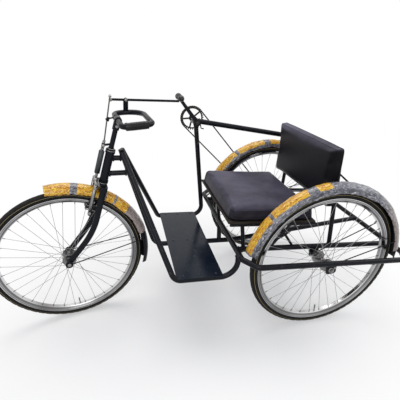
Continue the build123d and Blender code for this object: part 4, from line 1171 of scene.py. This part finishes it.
def stuffed(name, node, shrink, cap, pressure, flat_side, corner):
    """Shrinks the plain block, rounds its corners, and fills it with air as cloth."""
    mesh = nodes[node].data.copy()
    mesh.materials.clear()
    piece = bpy.data.objects.new(name, mesh)
    bpy.context.scene.collection.objects.link(piece)
    low, high = Vector(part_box(node)[0]), Vector(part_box(node)[1])
    middle, half = (low + high) / 2, (high - low) / 2
    for vertex in mesh.vertices:
        vertex.co = middle + (vertex.co - middle) * shrink
    remesh = piece.modifiers.new("even faces", "REMESH")
    remesh.mode = "VOXEL"
    remesh.voxel_size = 0.0065
    apply_modifier(piece, remesh)
    if corner:
        round_corners(piece.data, middle, half.x * shrink - corner, half.y * shrink - corner)
    fill_with_air(piece, cap, pressure, flat_side)
    soften = piece.modifiers.new("even curve", "CORRECTIVE_SMOOTH")
    soften.iterations = 6
    soften.use_only_smooth = True
    apply_modifier(piece, soften)
    rounder = piece.modifiers.new("round", "SUBSURF")
    rounder.levels = 1
    rounder.render_levels = 1
    apply_modifier(piece, rounder)
    piece.data.shade_smooth()
    piece.data.materials.clear()
    piece.data.materials.append(vinyl)
    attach(piece, "frame")
    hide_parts(node)
    return piece


WELT_R = 0.0013


def seam(name, cushion, node, up, inset, level):
    """A sewn welt that lies on a cushion round one face of its block."""
    across = Vector((0, 1, 0))
    forward = across.cross(up)
    block = [vertex.co for vertex in nodes[node].data.vertices]
    us, vs = [co.dot(forward) for co in block], [co.dot(across) for co in block]
    u0, u1, v0, v1 = min(us) + inset, max(us) - inset, min(vs) + inset, max(vs) - inset
    w = max(co.dot(up) for co in block) - level
    corners = [forward * u + across * v + up * w for u, v in ((u0, v0), (u1, v0), (u1, v1), (u0, v1))]
    surface = BVHTree.FromObject(cushion, bpy.context.evaluated_depsgraph_get())
    path = []
    for i, b in enumerate(corners):
        c = corners[(i + 1) % 4]
        steps = max(4, int((c - b).length / 0.012))
        for k in range(steps):
            near, normal, _, _ = surface.find_nearest(b.lerp(c, k / steps))
            path.append(near + normal * WELT_R * 0.4)
    points, faces = [], []
    pipe(points, faces, path, WELT_R, 8, closed=True)
    mesh_piece(name, points, faces, vinyl, "frame")


seat_up = Vector((-RAIL_SLOPE, 0, 1)).normalized()
seat_along = Vector((1, 0, RAIL_SLOPE)).normalized()
seat = stuffed(
    "seat_cushion_vinyl", "seat_cushion",
    shrink=0.975, cap=0.010, pressure=3.0, flat_side=-seat_up, corner=0.036,
)
seam("seat_welt", seat, "seat_cushion", seat_up, inset=0.006, level=0.004)
seam("seat_welt_low", seat, "seat_cushion", seat_up, inset=0.003, level=0.048)

SEAT_FRONT_X, SEAT_FRONT_Z, SEAT_HALF = 426.0, 635.0, 216.0
seat_mid = at(SEAT_FRONT_X - SEAT_HALF, 0.0, SEAT_FRONT_Z - RAIL_SLOPE * SEAT_HALF)
HEM_OUTER, HEM_INNER = (0.2125, 0.2585), (0.188, 0.232)
HEM_LEVEL, HEM_THICKNESS = -0.0690, 0.0012


def under_seat(u, v, level):
    """A point by its distance ahead of the seat's middle, to its left and above it, in metres."""
    return seat_mid + seat_along * u + Vector((0, v, 0)) + seat_up * level


# The hem of the cover under the board, a flat frame of four strips
points, faces = [], []
for half_x, half_y in (HEM_OUTER, HEM_INNER):
    for sx, sy in ((1, 1), (-1, 1), (-1, -1), (1, -1)):
        for level in (HEM_LEVEL, HEM_LEVEL - HEM_THICKNESS):
            points.append(under_seat(half_x * sx, half_y * sy, level))
for k in range(4):
    a, b = 2 * k, 2 * ((k + 1) % 4)
    faces.append((a, b, b + 8, a + 8))
    faces.append((a + 1, a + 9, b + 9, b + 1))
    faces.append((a, a + 1, b + 1, b))
    faces.append((a + 8, b + 8, b + 9, a + 9))
mesh_piece("seat_hem", points, faces, vinyl, "frame", smooth=False)

# Its tacks: 8 at the front and the back, 7 at each side
tack = [(0, 0.0042), (0.0008, 0.0038), (0.0014, 0.0015)]
points, faces = [], []
for sx, sy, count in ((1, 0, 8), (-1, 0, 8), (0, 1, 7), (0, -1, 7)):
    for k in range(count):
        share = (k + 0.5) / count * 2 - 1
        u = 0.200 * sx if sx else 0.185 * share
        v = 0.245 * sy if sy else 0.230 * share
        lathe(points, faces, under_seat(u, v, HEM_LEVEL - 0.0010), -seat_up, tack, 10)
mesh_piece("seat_tacks", points, faces, zinc, "frame")

# Backrest: a padded panel in the same vinyl, held to two flat bars by round-headed bolts. The
# bars are welded across the posts.
finish_nodes(black_enamel, "back_posts", "back_bars")
BACK_TOP_X, BACK_TOP_Z, BACK_LEAN = -42.0, 874.0, 0.05
back_out = Vector((-1, 0, -BACK_LEAN)).normalized()
back = stuffed(
    "back_cushion_vinyl", "back_cushion",
    shrink=0.975, cap=0.009, pressure=3.0, flat_side=back_out, corner=0.0,
)
seam("back_welt", back, "back_cushion", -back_out, inset=0.006, level=0.004)
seam("back_welt_low", back, "back_cushion", -back_out, inset=0.003, level=0.036)
back_bolt = [(0, 0.0085), (0.0012, 0.0082), (0.0030, 0.0060), (0.0042, 0.0025), (0.0044, 0.0004)]
points, faces = [], []
for drop in (110.0, 232.0):
    for y in (-180.0, -60.0, 60.0, 180.0):
        on_front = at(BACK_TOP_X + drop * BACK_LEAN, y, BACK_TOP_Z - drop)
        lathe(points, faces, on_front + back_out * 0.0492, back_out, back_bolt, 18)
mesh_piece("back_bolts", points, faces, zinc, "frame")

# Floor: a plain pale floor that turns to the white of the background away from the tricycle,
# and keeps the shadow under it.
SPAN = 60.0
corners = [(-SPAN, -SPAN, 0), (SPAN, -SPAN, 0), (SPAN, SPAN, 0), (-SPAN, SPAN, 0)]
floor_mesh = bpy.data.meshes.new("floor")
floor_mesh.from_pydata(corners, [], [(0, 1, 2, 3)])
floor = bpy.data.objects.new("floor", floor_mesh)
floor.location.z = -0.0014
bpy.context.scene.collection.objects.link(floor)


def rays_that_see_white(tree):
    """One for the camera's rays and for those off or through shiny surfaces."""
    paths = add(tree, "LightPath")
    camera_or_glossy = math_node(
        tree, "MAXIMUM", paths.outputs["Is Camera Ray"], paths.outputs["Is Glossy Ray"]
    )
    return math_node(tree, "MAXIMUM", camera_or_glossy, paths.outputs["Is Transmission Ray"])


pale, tree, shader = new_material("pale floor", roughness=0.9, specular=0.0)
mottle = blend_colour(tree, noise_texture(tree, 3.0), (0.86, 0.86, 0.86), (0.89, 0.89, 0.89))
give(tree, shader, Base_Color=mottle)
# Distance from the middle, with less weight along the tricycle's length
place = add(tree, "TexCoord").outputs["Object"]
stretch = give(tree, add(tree, "VectorMath", operation="MULTIPLY"), place, (0.80, 1.0, 1.0))
length = give(tree, add(tree, "VectorMath", operation="LENGTH"), stretch.outputs[0])
away = give(
    tree, add(tree, "MapRange", interpolation_type="SMOOTHSTEP"),
    Value=length.outputs["Value"], From_Min=0.45, From_Max=1.25, To_Min=0.30,
)
white = give(tree, add(tree, "Emission"), Strength=1.0)
share = math_node(tree, "MULTIPLY", rays_that_see_white(tree), away.outputs["Result"])
mixed = give(tree, add(tree, "MixShader"), share, shader.outputs[0], white.outputs[0])
give(tree, tree.nodes["Material Output"], Surface=mixed.outputs[0])
floor.data.materials.append(pale)

# Light: an even sky-grey studio and three large soft lamps. The camera and bright metal see
# the white of the background.
world = bpy.data.worlds.new("studio")
bpy.context.scene.world = world
world.use_nodes = True
tree = world.node_tree
tree.nodes.clear()
light = give(tree, add(tree, "Background"), Color=(0.93, 0.95, 1.0), Strength=0.50)
white = give(tree, add(tree, "Background"), Color=(1, 1, 1), Strength=1.0)
share = rays_that_see_white(tree)
mixed = give(tree, add(tree, "MixShader"), share, light.outputs[0], white.outputs[0])
give(tree, add(tree, "OutputWorld"), mixed.outputs[0])


def area_lamp(name, place, target, size, power, colour=(1, 1, 1)):
    lamp = bpy.data.lights.new(name, "AREA")
    lamp.shape = "RECTANGLE"
    lamp.size, lamp.size_y = size
    lamp.energy = power
    lamp.color = colour
    holder = bpy.data.objects.new(name, lamp)
    holder.location = place
    direction = Vector(target) - Vector(place)
    holder.rotation_euler = direction.to_track_quat("-Z", "Y").to_euler()
    bpy.context.scene.collection.objects.link(holder)


area_lamp("top light", (-0.2, -1.0, 3.4), (0, 0, 0.4), (2.8, 2.2), 62, (1.0, 0.985, 0.96))
area_lamp("near light", (1.0, 2.9, 2.4), (0.1, 0, 0.4), (2.4, 2.0), 46)
area_lamp("rear light", (-2.8, 0.4, 2.2), (0, 0, 0.5), (2.0, 1.6), 22, (0.95, 0.97, 1.0))

# Camera: at the photograph's viewing angle, worked out from the outlines of the three wheels.
# Its place is measured from the ground under the rear axles, and its angles are in radians.
CAMERA_AT = (0.8214, 1.4739, 1.2958)
YAW, PITCH, ROLL = -0.2151, 0.4469, -0.0261
look = Vector((math.sin(YAW), -math.cos(YAW), 0)) * math.cos(PITCH) + Vector((0, 0, -math.sin(PITCH)))
right = Vector((-math.cos(YAW), -math.sin(YAW), 0))
level_up = right.cross(look)
right_rolled = right * math.cos(ROLL) + level_up * math.sin(ROLL)
up_rolled = level_up * math.cos(ROLL) - right * math.sin(ROLL)
rotation = Matrix((right_rolled, up_rolled, -look)).transposed()
camera_data = bpy.data.cameras.new("camera")
camera_data.sensor_width = 36.0
camera_data.lens = 29.95
camera_data.clip_start = 0.05
camera = bpy.data.objects.new("camera", camera_data)
camera_place = Vector(CAMERA_AT) + Vector((rear_axle_x, 0, 0))
camera.matrix_world = Matrix.Translation(camera_place) @ rotation.to_4x4()
bpy.context.scene.collection.objects.link(camera)
bpy.context.scene.camera = camera
bpy.context.scene.view_settings.view_transform = "Standard"
